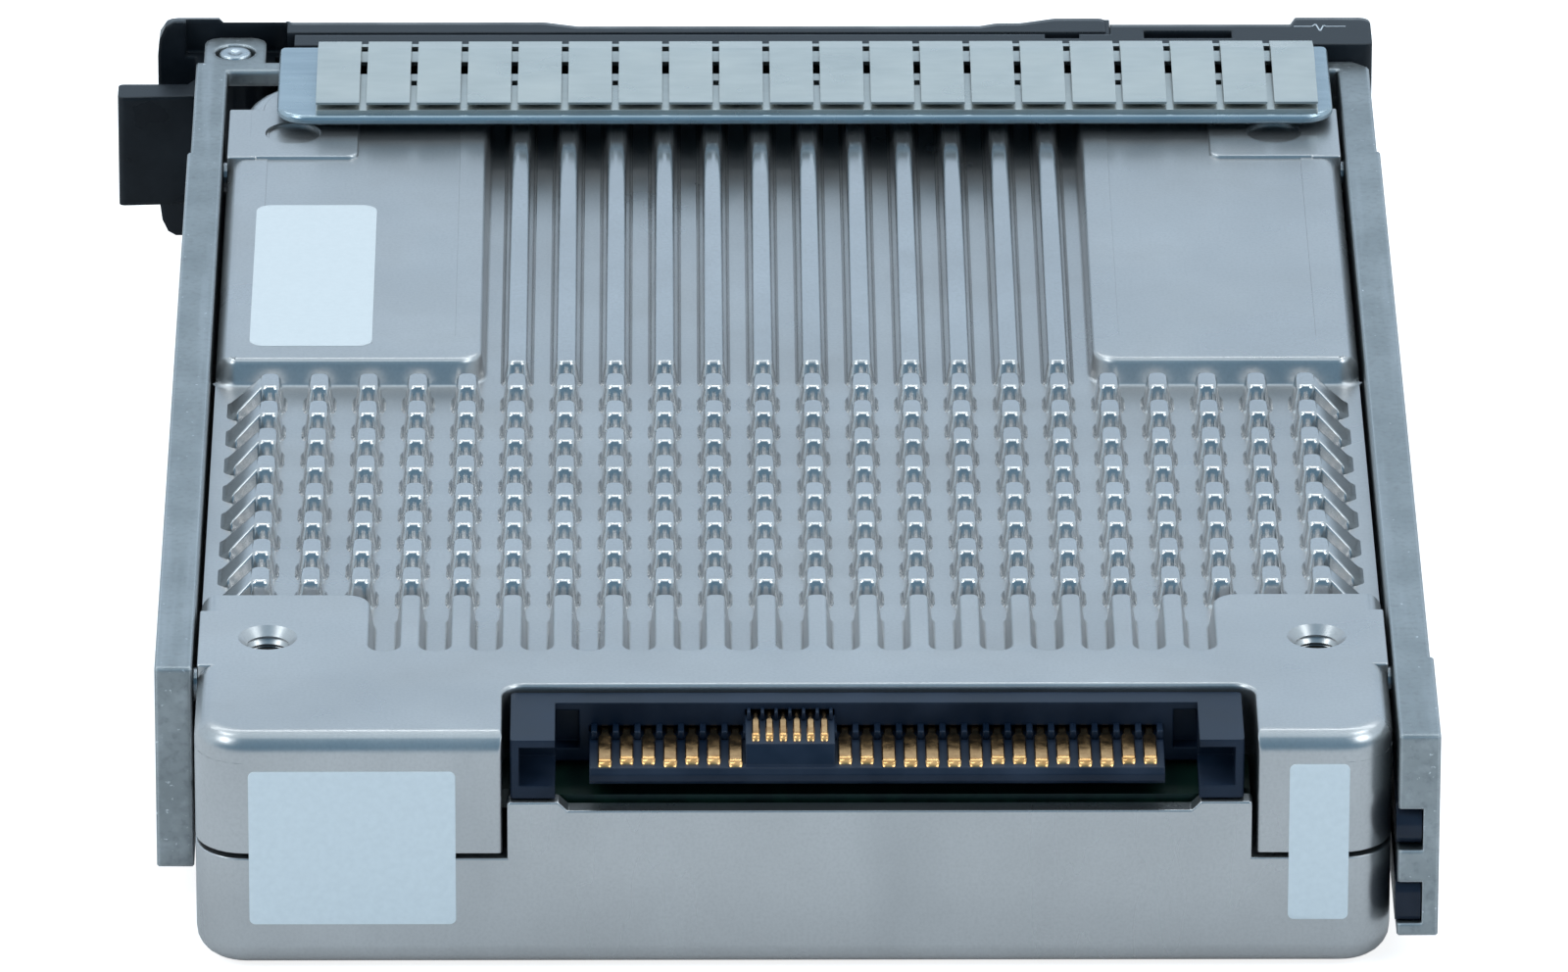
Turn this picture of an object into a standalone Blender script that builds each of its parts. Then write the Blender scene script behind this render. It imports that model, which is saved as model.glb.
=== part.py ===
"""Hot swap solid state drive: a finned die cast case in its carrier.

Lengths are metres and +Z is up. Pieces are laid out from the connector end of
the drive: X runs across it, Y runs from the connector end towards the bezel,
and Z is the height above the face that the drive rests on. Everything is
parented to one empty, which puts the middle of that face at the origin.
"""

import math

import bmesh
import bpy
from mathutils import Matrix, Vector

MM = 0.001

# Fits
CLEARANCE = 0.3 * MM
CONTACT_CLEARANCE = 0.1 * MM
OVERSHOOT = 1.0 * MM
ROOT = 0.3 * MM
WELD = 0.002 * MM

# Smoothness of round forms
ARC_STEPS = 3
SMALL_ARC_STEPS = 2
HUB_STEPS = 6
FILLET_STEPS = 3
TURNED_STEPS = 16
SMOOTH_ANGLE = math.radians(35)
FLAT_ANGLE = math.radians(0.5)
FACET_ANGLE = math.radians(20)
FULL_ROUND = 0.98
FACE_STEP = 0.03 * MM

# Drive envelope
DRIVE_WIDTH = 69.85 * MM
DRIVE_LENGTH = 100.45 * MM
DRIVE_HEIGHT = 15.0 * MM
SEAM_DROP = 7.85 * MM
CASE_NEAR_RADIUS = 3.0 * MM
CASE_FAR_RADIUS = 6.0 * MM
CASE_FAR_INSET = 0.8 * MM
CASE_FAR_STEP = 6.15 * MM
TOP_FILLET = 1.2 * MM
BOTTOM_FILLET = 1.6 * MM
CASE_WALL = 2.0 * MM
COVER_FLOOR = 1.8 * MM
CORNER_BLOCK_WIDTH = 8.0 * MM
NEAR_BLOCK_LENGTH = 18.8 * MM
FAR_BLOCK_LENGTH = 13.8 * MM
BLOCK_SLOPE = 0.4 * MM

# Mounting holes of the drive
HOLE_SPACING = 61.72 * MM
NEAR_HOLE = 14.0 * MM
FAR_HOLE_INSET = 9.85 * MM
HOLE_RADIUS = 1.25 * MM
HOLE_DEPTH = 4.2 * MM
COUNTERSINK_RADIUS = 1.75 * MM
SIDE_HOLE_DROP = 3.0 * MM
SIDE_HOLE_DEPTH = 2.5 * MM
SHARP_BOSS_LENGTH = 7.8 * MM
SHARP_BOSS_WIDTH = 1.6 * MM
SHARP_BOSS_HEIGHT = 2.7 * MM

# Heat sink
FIN_HEIGHT = 1.75 * MM
FIN_PITCH = 3.0 * MM
FIN_COLUMNS = 22
FIN_TOP_WIDTH = 1.1 * MM
FIN_DRAFT = 0.48 * MM
ROOF_THICKNESS = 1.0 * MM
PIN_ROWS = 8
PIN_PITCH = 4.1 * MM
PIN_TOP_LENGTH = 2.1 * MM
LONG_FINS = 12
LONG_FIN_START = 54.8 * MM
RIBS = 16
VALLEY_START = 12.2 * MM
PLATEAU_END = 20.2 * MM
BAY_HALF_WIDTH = 18.25 * MM
PAD_CORNER_RADIUS = 1.0 * MM
PAD_DROP = 0.15 * MM
PAD_BOSS_WIDTH = 8.2 * MM
PAD_BOSS_REACH = 3.8 * MM
PAD_BOSS_RADIUS = 0.5 * MM
TAIL_WIDTH = 0.9 * MM
TAIL_LENGTH = 5.0 * MM
TAIL_DRAFT = 0.3 * MM
TAIL_ANGLE = math.radians(27)

# Connector opening in the case
NOTCH_LEFT_GAP = 0.5 * MM
NOTCH_RIGHT_GAP = 0.8 * MM
NOTCH_DEPTH = 7.3 * MM
NOTCH_RADIUS = 1.3 * MM
UPSTAND_THICKNESS = 1.2 * MM
UPSTAND_EAR_HEIGHT = 3.6 * MM
UPSTAND_SILL_HEIGHT = 3.05 * MM
UPSTAND_EAR_WIDTH = 3.0 * MM

# Circuit board and what is on it
BOARD_DROP = 5.6 * MM
BOARD_THICKNESS = 1.2 * MM
BOARD_TONGUE_RECESS = 0.3 * MM
POST_RADIUS = 1.8 * MM
POST_INSET = 2.4 * MM
CONTROLLER_SIZE = 17.0 * MM
CONTROLLER_PLACE = 52.0 * MM
CHIP_THICKNESS = 0.9 * MM
PAD_THICKNESS = 0.5 * MM
PEDESTAL_JOINTS = 3
FLASH_WIDTH = 14.0 * MM
FLASH_LENGTH = 18.0 * MM
FLASH_SIDE_PLACE = 21.0 * MM
FLASH_ROWS = (36.0 * MM, 58.0 * MM)
MEMORY_WIDTH = 9.0 * MM
MEMORY_LENGTH = 13.0 * MM
MEMORY_PLACE = 40.0 * MM
CAPACITOR_FLOOR_GAP = 2.3 * MM
CAPACITOR_LENGTH = 20.0 * MM
CAPACITOR_PITCH = 26.0 * MM
CAPACITORS = 2
CAPACITOR_INSET = 18.45 * MM

# Plug connector
HOUSING_CENTRE = 4.85 * MM
HOUSING_WIDTH = 42.7 * MM
HOUSING_FACE = 0.3 * MM
HOUSING_BACK_WALL = 1.45 * MM
HOUSING_TOP_DROP = 0.4 * MM
HOUSING_RADIUS = 0.25 * MM
GUIDE_WIDTH = 2.6 * MM
GUIDE_SKIN = 0.5 * MM
GUIDE_POCKET_HEIGHT = 2.45 * MM
GUIDE_POCKET_DEPTH = 4.2 * MM
BACK_HOLE_WIDTH = 1.4 * MM
BACK_HOLE_DEPTH = 1.1 * MM
TONGUE_START = -11.9 * MM
TONGUE_END = 21.6 * MM
TONGUE_THICKNESS = 1.0 * MM
TONGUE_TOP_DROP = 2.25 * MM
TONGUE_NOSE = 0.3 * MM
TONGUE_OVERHANG = 0.1 * MM
KEY_CENTRE = -0.2 * MM
KEY_WIDTH = 5.2 * MM
KEY_HEIGHT = 1.03 * MM
KEY_SETBACK = 0.5 * MM
KEY_SLOPE = 0.9 * MM
CONTACT_PITCH = 1.27 * MM
CONTACT_WIDTH = 0.84 * MM
CONTACT_THICKNESS = 0.2 * MM
CONTACT_ROOT = 0.35 * MM
LONG_CONTACT_TIP = 1.4 * MM
SHORT_CONTACT_TIP = 2.0 * MM
SIGNAL_CONTACTS = 7
SIGNAL_START = -11.0 * MM
LONG_SIGNALS = (0, 3, 6)
POWER_CONTACTS = 15
POWER_START = 3.0 * MM
LONG_POWERS = (2, 3, 4, 5, 6, 9, 11, 12)
AUXILIARY_CONTACTS = 6
AUXILIARY_START = -2.2 * MM
AUXILIARY_PITCH = 0.8 * MM
AUXILIARY_WIDTH = 0.45 * MM

# Case screws, driven from the resting side
CASE_SCREW_SIDE_INSET = 4.4 * MM
CASE_SCREW_END_INSET = 5.4 * MM
CASE_SCREW_HEAD_RADIUS = 1.9 * MM
CASE_SCREW_HEAD_HEIGHT = 1.2 * MM
CASE_SCREW_SHANK_RADIUS = 0.9 * MM
CASE_SCREW_LENGTH = 8.4 * MM
CASE_SCREW_RECESS = 0.4 * MM
SOCKET_RADIUS = 0.8 * MM
SOCKET_DEPTH = 0.7 * MM

# Carrier rails and cross wall
RAIL_THICKNESS = 2.2 * MM
RAIL_UNDERSIDE = 2.1 * MM
LEFT_RAIL_START = 9.65 * MM
RAIL_PAD = 0.2 * MM
RAIL_PAD_LENGTH = 11.1 * MM
RAIL_STEP = 0.2 * MM
RAIL_STEP_LENGTH = 14.7 * MM
RAIL_EDGE = 0.12 * MM
RAIL_FAR_CHAMFER = 1.0 * MM
CROSS_WALL_THICKNESS = 1.45 * MM
VENTS = 4
VENT_WIDTH = 10.5 * MM
VENT_PITCH = 14.5 * MM
VENT_HEIGHT = 8.0 * MM
VENT_CENTRE = 1.5 * MM
VENT_RADIUS = 0.8 * MM
STAKE_WIDTH = 5.0 * MM
STAKE_PLACES = (-22.0 * MM, 1.5 * MM, 25.0 * MM)
STAKE_WALL = 0.3 * MM

# Side screws that hold the drive in the carrier
SIDE_SCREW_HEAD_RADIUS = 2.3 * MM
SIDE_SCREW_SHANK_RADIUS = 0.95 * MM
SIDE_SCREW_HEAD_HEIGHT = 0.75 * MM
SIDE_SCREW_GRIP = 1.8 * MM

# Hinge of the lever
PIVOT_OUTSIDE = 0.125 * MM
PIVOT_BEYOND_WALL = 1.7 * MM
PIN_RADIUS = 1.02 * MM
PIN_DIMPLE_RADIUS = 0.45 * MM
PIN_DIMPLE_DEPTH = 0.25 * MM
TAB_THICKNESS = 1.0 * MM
TAB_WIDTH = 3.9 * MM
TAB_REACH = 2.4 * MM
TAB_RADIUS = 1.0 * MM
HINGE_BAY = 3.4 * MM
HUB_RADIUS = 2.5 * MM
HOOK_WINDOW = 6.7 * MM
HOOK_SILL = 3.9 * MM
HOOK_HEIGHT = 7.4 * MM
HOOK_REACH = 7.4 * MM
HOOK_SETBACK = 3.8 * MM
HOOK_THICKNESS = 2.3 * MM
HOOK_RADIUS = 0.3 * MM
HOOK_NECK_STEP = 0.5 * MM

# Shielding plate and its spring fingers
PLATE_THICKNESS = 0.8 * MM
PLATE_LEFT = -31.9 * MM
PLATE_RIGHT = 34.6 * MM
PLATE_OVERHANG = 9.85 * MM
PLATE_RADIUS = 2.0 * MM
FINGERS = 20
FINGER_PITCH = 3.175 * MM
FINGER_WIDTH = 2.74 * MM
FINGER_CENTRE = 2.1 * MM
FINGER_THICKNESS = 0.15 * MM
FINGER_MARGIN = 1.2 * MM
FINGER_LIP = 0.35 * MM
FINGER_CREST_PLACE = 4.2 * MM
FINGER_CREST_HEIGHT = 1.15 * MM
FINGER_NOSE_HEIGHT = 0.8 * MM
FINGER_NOSE_FALL = 0.16 * MM
FINGER_FOLD_RADIUS = 0.25 * MM
STRIP_HOLE_LENGTH = 1.9 * MM
STRIP_HOLE_PLACE = 3.4 * MM

# Light pipes in the right rail
PIPE_WIDTH = 1.15 * MM
PIPE_HEIGHT = 2.1 * MM
LOWER_PIPE_RISE = 2.15 * MM
UPPER_PIPE_DROP = 6.05 * MM
PIPE_CHAMFER = 0.25 * MM
PIPE_WINDOW_DEPTH = 0.15 * MM

# Bezel
BEZEL_TOP_STEP = 1.0 * MM
BEZEL_BOTTOM = 1.3 * MM
BEZEL_CROWN = 2.2 * MM
BEZEL_PLATE = 1.8 * MM
BEZEL_LEFT = -31.0 * MM
BEZEL_RIGHT = 37.5 * MM
BEZEL_BLOCK_DEPTH = 5.2 * MM
BEZEL_LAMP_WIDTH = 5.1 * MM
BEZEL_LAMP_STEP = 1.15 * MM
BEZEL_CORNER = 0.7 * MM
BEZEL_TOP_SLOT = (23.0 * MM, 28.6 * MM)
BEZEL_TOP_SLOT_WIDTH = 1.2 * MM
BEZEL_TOP_SLOT_DEPTH = 2.0 * MM
BEZEL_NOTCH = (16.7 * MM, 18.9 * MM)
BEZEL_HEX_RADIUS = 1.55 * MM
BEZEL_HEX_PITCH = 3.7 * MM
BEZEL_HEX_COLUMNS = 13
BEZEL_HEX_ROWS = 3
HEXAGON_STEPS = 6
BEZEL_HOOKS = (-20.6 * MM, 8.4 * MM)
BEZEL_HOOK_WIDTH = 4.0 * MM
BEZEL_HOOK_THICKNESS = 1.0 * MM

# Lever
LEVER_DEPTH = 3.6 * MM
LEVER_TIP = 20.6 * MM
LEVER_TAIL = 5.0 * MM
LEVER_CHEEK_STEP = 0.8 * MM
LEVER_CHEEK_WIDTH = 3.9 * MM
LEVER_CHEEK_BACK = 2.4 * MM
LEVER_SHOULDER = 3.3 * MM
LEVER_RECESS_SIDE = 3.2 * MM
LEVER_RECESS_BACK = 3.1 * MM
LEVER_SCOOP = (-15.2 * MM, 12.6 * MM)
LEVER_SCOOP_DEPTH = 0.7 * MM
LEVER_SCOOP_RAMP = 2.2 * MM
LEVER_THUMB_START = 17.4 * MM
LEVER_THUMB_HEIGHT = 0.55 * MM
LEVER_END_ROUNDING = 0.45
LEVER_CORNER = 0.9 * MM
LEVER_THINNEST = 0.3 * MM
LEVER_WALL = 1.3 * MM
LEVER_POCKET = (-27.0 * MM, 13.0 * MM)
LEVER_SLOTS = 8
LEVER_SLOT_WIDTH = 3.0 * MM
LEVER_SLOT_HEIGHT = 7.6 * MM

# Release latch beside the tip of the lever
LATCH_TRAVEL = 2.0 * MM
LATCH_START = 22.2 * MM
LATCH_WIDTH = 6.6 * MM
LATCH_HEIGHT = 8.4 * MM
LATCH_WALL = 1.4 * MM
LATCH_DEPTH = 2.6 * MM
LATCH_GRIP_HEIGHT = 0.9 * MM
LATCH_GRIPS = 4
LATCH_GRIP_PITCH = 1.3 * MM
LATCH_GRIP_WIDTH = 0.6 * MM
SPRING_RADIUS = 0.75 * MM
SPRING_WIRE = 0.15 * MM
SPRING_TURNS = 5
SPRING_POCKET_DEPTH = 4.4 * MM
SPRING_POINTS_PER_TURN = 7

# Places that follow from the sizes above
HALF_WIDTH = DRIVE_WIDTH / 2
FIN_FLOOR = DRIVE_HEIGHT - FIN_HEIGHT
CEILING = FIN_FLOOR - ROOF_THICKNESS
SEAM_HEIGHT = DRIVE_HEIGHT - SEAM_DROP
CASE_UNDERSIDE = SEAM_HEIGHT + CLEARANCE
FAR_HOLE = DRIVE_LENGTH - FAR_HOLE_INSET
RAIL_INNER = HALF_WIDTH + CLEARANCE
RAIL_OUTER = RAIL_INNER + RAIL_THICKNESS
WALL_NEAR = DRIVE_LENGTH + CLEARANCE
WALL_FAR = WALL_NEAR + CROSS_WALL_THICKNESS
PIVOT = Vector((-(HALF_WIDTH - PIVOT_OUTSIDE), WALL_FAR + PIVOT_BEYOND_WALL))
BAY_EDGE = PIVOT.x + HINGE_BAY
PLATE_UNDERSIDE = DRIVE_HEIGHT + CLEARANCE
PLATE_TOP = PLATE_UNDERSIDE + PLATE_THICKNESS
PLATE_NEAR = DRIVE_LENGTH - PLATE_OVERHANG
BEZEL_NEAR = WALL_FAR + CLEARANCE
BEZEL_PLATE_FRONT = BEZEL_NEAR + BEZEL_PLATE
BEZEL_FRONT = BEZEL_NEAR + BEZEL_BLOCK_DEPTH
BEZEL_TOP = DRIVE_HEIGHT + BEZEL_TOP_STEP
LEVER_BACK = BEZEL_PLATE_FRONT + CLEARANCE
LEVER_FRONT = LEVER_BACK + LEVER_DEPTH
BOARD_UNDERSIDE = DRIVE_HEIGHT - BOARD_DROP
BOARD_TOP = BOARD_UNDERSIDE + BOARD_THICKNESS
CAPACITOR_RADIUS = (BOARD_UNDERSIDE - CLEARANCE - COVER_FLOOR - CAPACITOR_FLOOR_GAP) / 2
CAPACITOR_PLACE = DRIVE_LENGTH - CAPACITOR_INSET
HOUSING_LEFT = HOUSING_CENTRE - HOUSING_WIDTH / 2
HOUSING_RIGHT = HOUSING_CENTRE + HOUSING_WIDTH / 2
NOTCH_LEFT = HOUSING_LEFT - NOTCH_LEFT_GAP
NOTCH_RIGHT = HOUSING_RIGHT + NOTCH_RIGHT_GAP
TONGUE_TOP = DRIVE_HEIGHT - TONGUE_TOP_DROP
LOWER_PIPE = RAIL_UNDERSIDE + LOWER_PIPE_RISE
UPPER_PIPE = DRIVE_HEIGHT - UPPER_PIPE_DROP
HUB_BOTTOM = RAIL_UNDERSIDE + TAB_THICKNESS + CLEARANCE
HUB_TOP = DRIVE_HEIGHT - TAB_THICKNESS - CLEARANCE


def clear_scene():
    """Start from an empty scene."""
    for item in list(bpy.data.objects):
        bpy.data.objects.remove(item, do_unlink=True)


def new_collection(name):
    """Make a collection under the scene's own."""
    made = bpy.data.collections.new(name)
    bpy.context.scene.collection.children.link(made)
    return made


def new_material(name, colour, metallic, roughness):
    """Make one plain surface."""
    made = bpy.data.materials.new(name)
    made.use_nodes = True
    shader = made.node_tree.nodes["Principled BSDF"]
    shader.inputs["Base Color"].default_value = (*colour, 1.0)
    shader.inputs["Metallic"].default_value = metallic
    shader.inputs["Roughness"].default_value = roughness
    return made


clear_scene()
PARTS = new_collection("solid_state_drive")
CUTTERS = new_collection("cutters")
DATUM = bpy.data.objects.new("drive_datum", None)
DATUM.location.y = -DRIVE_LENGTH / 2
PARTS.objects.link(DATUM)

CAST_ALUMINIUM = new_material("cast_aluminium", (0.45, 0.49, 0.55), 0.9, 0.4)
CAST_ZINC = new_material("cast_zinc", (0.22, 0.26, 0.3), 0.85, 0.5)
ZINC_PLATE = new_material("zinc_plate", (0.32, 0.42, 0.5), 0.9, 0.35)
SPRING_STEEL = new_material("spring_steel", (0.62, 0.64, 0.64), 0.9, 0.35)
SCREW_STEEL = new_material("screw_steel", (0.5, 0.52, 0.55), 1.0, 0.3)
BLACK_PLASTIC = new_material("black_plastic", (0.012, 0.014, 0.016), 0.0, 0.45)
NAVY_PLASTIC = new_material("navy_plastic", (0.02, 0.035, 0.06), 0.0, 0.5)
PIPE_PLASTIC = new_material("pipe_plastic", (0.03, 0.05, 0.09), 0.0, 0.2)
BOARD_GREEN = new_material("board_green", (0.01, 0.06, 0.03), 0.0, 0.5)
CHIP_BLACK = new_material("chip_black", (0.02, 0.02, 0.02), 0.0, 0.6)
PAD_GREY = new_material("pad_grey", (0.4, 0.42, 0.45), 0.0, 0.8)
GOLD = new_material("gold", (0.75, 0.5, 0.2), 1.0, 0.3)


def new_object(name, mesh, owner):
    """Link a mesh under the datum."""
    made = bpy.data.objects.new(name, mesh)
    owner.objects.link(made)
    made.parent = DATUM
    return made


def as_part(item, name, material):
    """Make an object one of the visible pieces."""
    if item.name not in PARTS.objects:
        CUTTERS.objects.unlink(item)
        PARTS.objects.link(item)
    item.name = name
    item.hide_render = False
    item.display_type = "TEXTURED"
    item.data.name = name
    item.data.materials.clear()
    item.data.materials.append(material)
    return item


def as_tool(item):
    """Make an object a hidden tool for a Boolean."""
    item.hide_render = True
    item.display_type = "WIRE"
    return item


def from_bmesh(name, bm):
    """Turn a bmesh into an object, which starts as a tool."""
    bmesh.ops.recalc_face_normals(bm, faces=bm.faces)
    mesh = bpy.data.meshes.new(name)
    bm.to_mesh(mesh)
    bm.free()
    return as_tool(new_object(name, mesh, CUTTERS))


def frozen(item, matrix=None):
    """Give an object's evaluated shape as a welded bmesh, and remove the object."""
    bpy.context.view_layer.update()
    shape = item.evaluated_get(bpy.context.evaluated_depsgraph_get())
    mesh = bpy.data.meshes.new_from_object(shape)
    bm = bmesh.new()
    bm.from_mesh(mesh)
    bmesh.ops.remove_doubles(bm, verts=bm.verts, dist=WELD)
    if matrix is not None:
        bmesh.ops.transform(bm, matrix=matrix, verts=bm.verts)
    bpy.data.meshes.remove(mesh)
    bpy.data.objects.remove(item, do_unlink=True)
    return bm


def boolean(target, tool, operation):
    """Cut, join or intersect a piece with a tool."""
    modifier = target.modifiers.new(tool.name, "BOOLEAN")
    modifier.operation = operation
    modifier.solver = "EXACT"
    modifier.object = tool
    weld = target.modifiers.new(f"{tool.name}_weld", "WELD")
    weld.merge_threshold = WELD


def cut(target, *tools):
    """Cut each tool out of a piece."""
    for tool in tools:
        boolean(target, tool, "DIFFERENCE")


def join(target, *tools):
    """Join each tool to a piece."""
    for tool in tools:
        boolean(target, tool, "UNION")


def outline(corners, steps=ARC_STEPS):
    """Round the corners, each (x, y) or (x, y, radius), of a closed outline."""
    points = []
    count = len(corners)
    for index, corner in enumerate(corners):
        place = Vector(corner[:2])
        radius = corner[2] if len(corner) > 2 else 0.0
        if radius <= 0.0:
            points.append(place)
            continue
        before = Vector(corners[index - 1][:2]) - place
        after = Vector(corners[(index + 1) % count][:2]) - place
        half = before.angle(after) / 2
        run = radius / math.tan(half)
        middle = place + (before.normalized() + after.normalized()).normalized() * (radius / math.sin(half))
        start = place + before.normalized() * run - middle
        end = place + after.normalized() * run - middle
        first = math.atan2(start.y, start.x)
        sweep = (math.atan2(end.y, end.x) - first + math.pi) % (2 * math.pi) - math.pi
        for step in range(steps + 1):
            angle = first + sweep * step / steps
            points.append(middle + radius * Vector((math.cos(angle), math.sin(angle))))
    return points


def rectangle(low_x, high_x, low_y, high_y, radius=0.0):
    """Give the corners of a rectangle, all with one radius."""
    return [
        (low_x, low_y, radius),
        (high_x, low_y, radius),
        (high_x, high_y, radius),
        (low_x, high_y, radius),
    ]


def mirrored(corners):
    """Complete an outline whose right half is given from the near to the far end."""
    left = [(-corner[0], *corner[1:]) for corner in reversed(corners)]
    return corners + left


UPRIGHT = Matrix.Identity(4)
FACING_BACK = Matrix.Rotation(math.pi / 2, 4, "X")
FROM_LEFT = Matrix(((0, 0, 1, 0), (1, 0, 0, 0), (0, -1, 0, 0), (0, 0, 0, 1)))


def prism(name, points, low, high, turn=UPRIGHT):
    """Extrude a flat outline from low to high along its own normal."""
    curve = bpy.data.curves.new(name, "CURVE")
    curve.dimensions = "2D"
    curve.fill_mode = "BOTH"
    curve.extrude = (high - low) / 2
    spline = curve.splines.new("POLY")
    spline.points.add(len(points) - 1)
    for target, point in zip(spline.points, points):
        target.co = (point[0], point[1], 0.0, 1.0)
    spline.use_cyclic_u = True
    drawn = new_object(name, curve, CUTTERS)
    bm = frozen(drawn, turn @ Matrix.Translation((0.0, 0.0, (low + high) / 2)))
    bmesh.ops.dissolve_limit(bm, angle_limit=FLAT_ANGLE, verts=bm.verts, edges=bm.edges)
    return from_bmesh(name, bm)


def add_block(bm, low, high):
    """Add a box to a bmesh."""
    size = Vector(high) - Vector(low)
    place = Matrix.Translation((Vector(low) + Vector(high)) / 2)
    bmesh.ops.create_cube(bm, size=1.0, matrix=place @ Matrix.Diagonal((*size, 1.0)))


def block(name, low, high):
    """Make one box."""
    bm = bmesh.new()
    add_block(bm, low, high)
    return from_bmesh(name, bm)


def blocks(name, corner_pairs):
    """Make several separate boxes in one object."""
    bm = bmesh.new()
    for low, high in corner_pairs:
        add_block(bm, low, high)
    return from_bmesh(name, bm)


def add_drafted_bar(bm, low, high, draft, matrix=UPRIGHT):
    """Add a bar whose foot is wider than its top by the draft on every side."""
    corners = bmesh.ops.create_cube(bm, size=1.0)["verts"]
    for corner in corners:
        spread = 0.0 if corner.co.z > 0 else draft
        x = high[0] + spread if corner.co.x > 0 else low[0] - spread
        y = high[1] + spread if corner.co.y > 0 else low[1] - spread
        z = high[2] if corner.co.z > 0 else low[2]
        corner.co = matrix @ Vector((x, y, z))


def add_loft(bm, rings):
    """Join rings of points, listed from the bottom up, into one closed form."""
    levels = [[bm.verts.new(point) for point in ring] for ring in rings]
    count = len(levels[0])
    bm.faces.new(list(reversed(levels[0])))
    bm.faces.new(levels[-1])
    for lower, upper in zip(levels, levels[1:]):
        for index in range(count):
            following = (index + 1) % count
            bm.faces.new((lower[index], lower[following], upper[following], upper[index]))


def crowned(name, corners_at, bottom, top, radius):
    """Loft outlines whose front edge draws back by a quarter round at top and bottom."""
    turns = [math.pi / 2 * step / ARC_STEPS for step in range(ARC_STEPS + 1)]
    draws = [(radius * (1 - math.cos(turn)), radius * (1 - math.sin(turn))) for turn in turns]
    levels = [(bottom + depth, back) for depth, back in draws]
    levels += [(top - depth, back) for depth, back in reversed(draws)]
    bm = bmesh.new()
    add_loft(bm, [[(*point, height) for point in outline(corners_at(back))] for height, back in levels])
    return from_bmesh(name, bm)


def turned(name, profile, steps=TURNED_STEPS):
    """Turn a profile of (radius, height), from its top to its bottom, about Z."""
    mesh = bpy.data.meshes.new(name)
    rows = [(radius, 0.0, height) for radius, height in profile]
    mesh.from_pydata(rows, [(index, index + 1) for index in range(len(rows) - 1)], [])
    drawn = new_object(name, mesh, CUTTERS)
    screw = drawn.modifiers.new("turn", "SCREW")
    screw.axis = "Z"
    screw.angle = 2 * math.pi
    screw.steps = steps
    screw.render_steps = steps
    screw.use_merge_vertices = True
    screw.merge_threshold = WELD
    return frozen(drawn)


def placed(name, shape, matrices):
    """Set copies of one bmesh at each matrix, as one object of separate solids."""
    mesh = bpy.data.meshes.new(name)
    shape.to_mesh(mesh)
    shape.free()
    bm = bmesh.new()
    for matrix in matrices:
        start = len(bm.verts)
        bm.from_mesh(mesh)
        bm.verts.ensure_lookup_table()
        bmesh.ops.transform(bm, matrix=matrix, verts=bm.verts[start:])
    bpy.data.meshes.remove(mesh)
    return from_bmesh(name, bm)


def copies(name, shape, matrices, material, is_round=False):
    """Make one visible piece at each matrix, all with the same mesh."""
    mesh = bpy.data.meshes.new(name)
    shape.to_mesh(mesh)
    shape.free()
    mesh.materials.append(material)
    if is_round:
        mesh.shade_smooth()
        mesh.set_sharp_from_angle(angle=SMOOTH_ANGLE)
    for number, matrix in enumerate(matrices, 1):
        made = new_object(f"{name}_{number}" if len(matrices) > 1 else name, mesh, PARTS)
        made.matrix_basis = matrix


def rounded_edges(item, width, wanted, steps=FILLET_STEPS):
    """Bevel the edges whose two ends both satisfy a test."""
    bm = bmesh.new()
    bm.from_mesh(item.data)
    weights = bm.edges.layers.float.new("bevel_weight_edge")
    for edge in bm.edges:
        flat = len(edge.link_faces) == 2 and edge.calc_face_angle() < FACET_ANGLE
        if not flat and all(wanted(vert.co) for vert in edge.verts):
            edge[weights] = 1.0
    bm.to_mesh(item.data)
    bm.free()
    bevel = item.modifiers.new("edge", "BEVEL")
    bevel.limit_method = "WEIGHT"
    bevel.width = width
    bevel.segments = steps
    bevel.use_clamp_overlap = False


def at_height(height):
    """Make a test for points at one height."""
    return lambda point: abs(point.z - height) < WELD


def case_outline():
    """Give the plan of the drive."""
    return outline(mirrored([
        (HALF_WIDTH, 0.0, CASE_NEAR_RADIUS),
        (HALF_WIDTH, DRIVE_LENGTH, CASE_FAR_RADIUS),
    ]))


def cavity_outline():
    """Give the plan of the hollow, which leaves a solid block in each corner."""
    wide = HALF_WIDTH - CASE_WALL
    narrow = HALF_WIDTH - CORNER_BLOCK_WIDTH
    return outline(mirrored([
        (narrow, CASE_WALL, CASE_WALL / 2),
        (narrow, NEAR_BLOCK_LENGTH),
        (wide, NEAR_BLOCK_LENGTH + BLOCK_SLOPE),
        (wide, DRIVE_LENGTH - FAR_BLOCK_LENGTH - BLOCK_SLOPE),
        (narrow, DRIVE_LENGTH - FAR_BLOCK_LENGTH),
        (narrow, DRIVE_LENGTH - CASE_WALL, CASE_WALL / 2),
    ]))


def far_end_steps(name):
    """Give the two slabs that make the far end of the drive narrower."""
    inner = HALF_WIDTH - CASE_FAR_INSET
    outer = HALF_WIDTH + OVERSHOOT
    near = DRIVE_LENGTH - CASE_FAR_STEP
    far = DRIVE_LENGTH + OVERSHOOT
    top = DRIVE_HEIGHT + OVERSHOOT
    return blocks(name, [
        ((-outer, near, -OVERSHOOT), (-inner, far, top)),
        ((inner, near, -OVERSHOOT), (outer, far, top)),
    ])


def hole_places(x, rows):
    """Give one translation for each side and row."""
    return [Vector((side * x, y, 0.0)) for side in (-1, 1) for y in rows]


def sideways(side):
    """Turn +Z to point out of the given side."""
    return Matrix.Rotation(side * math.pi / 2, 4, "Y")


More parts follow.
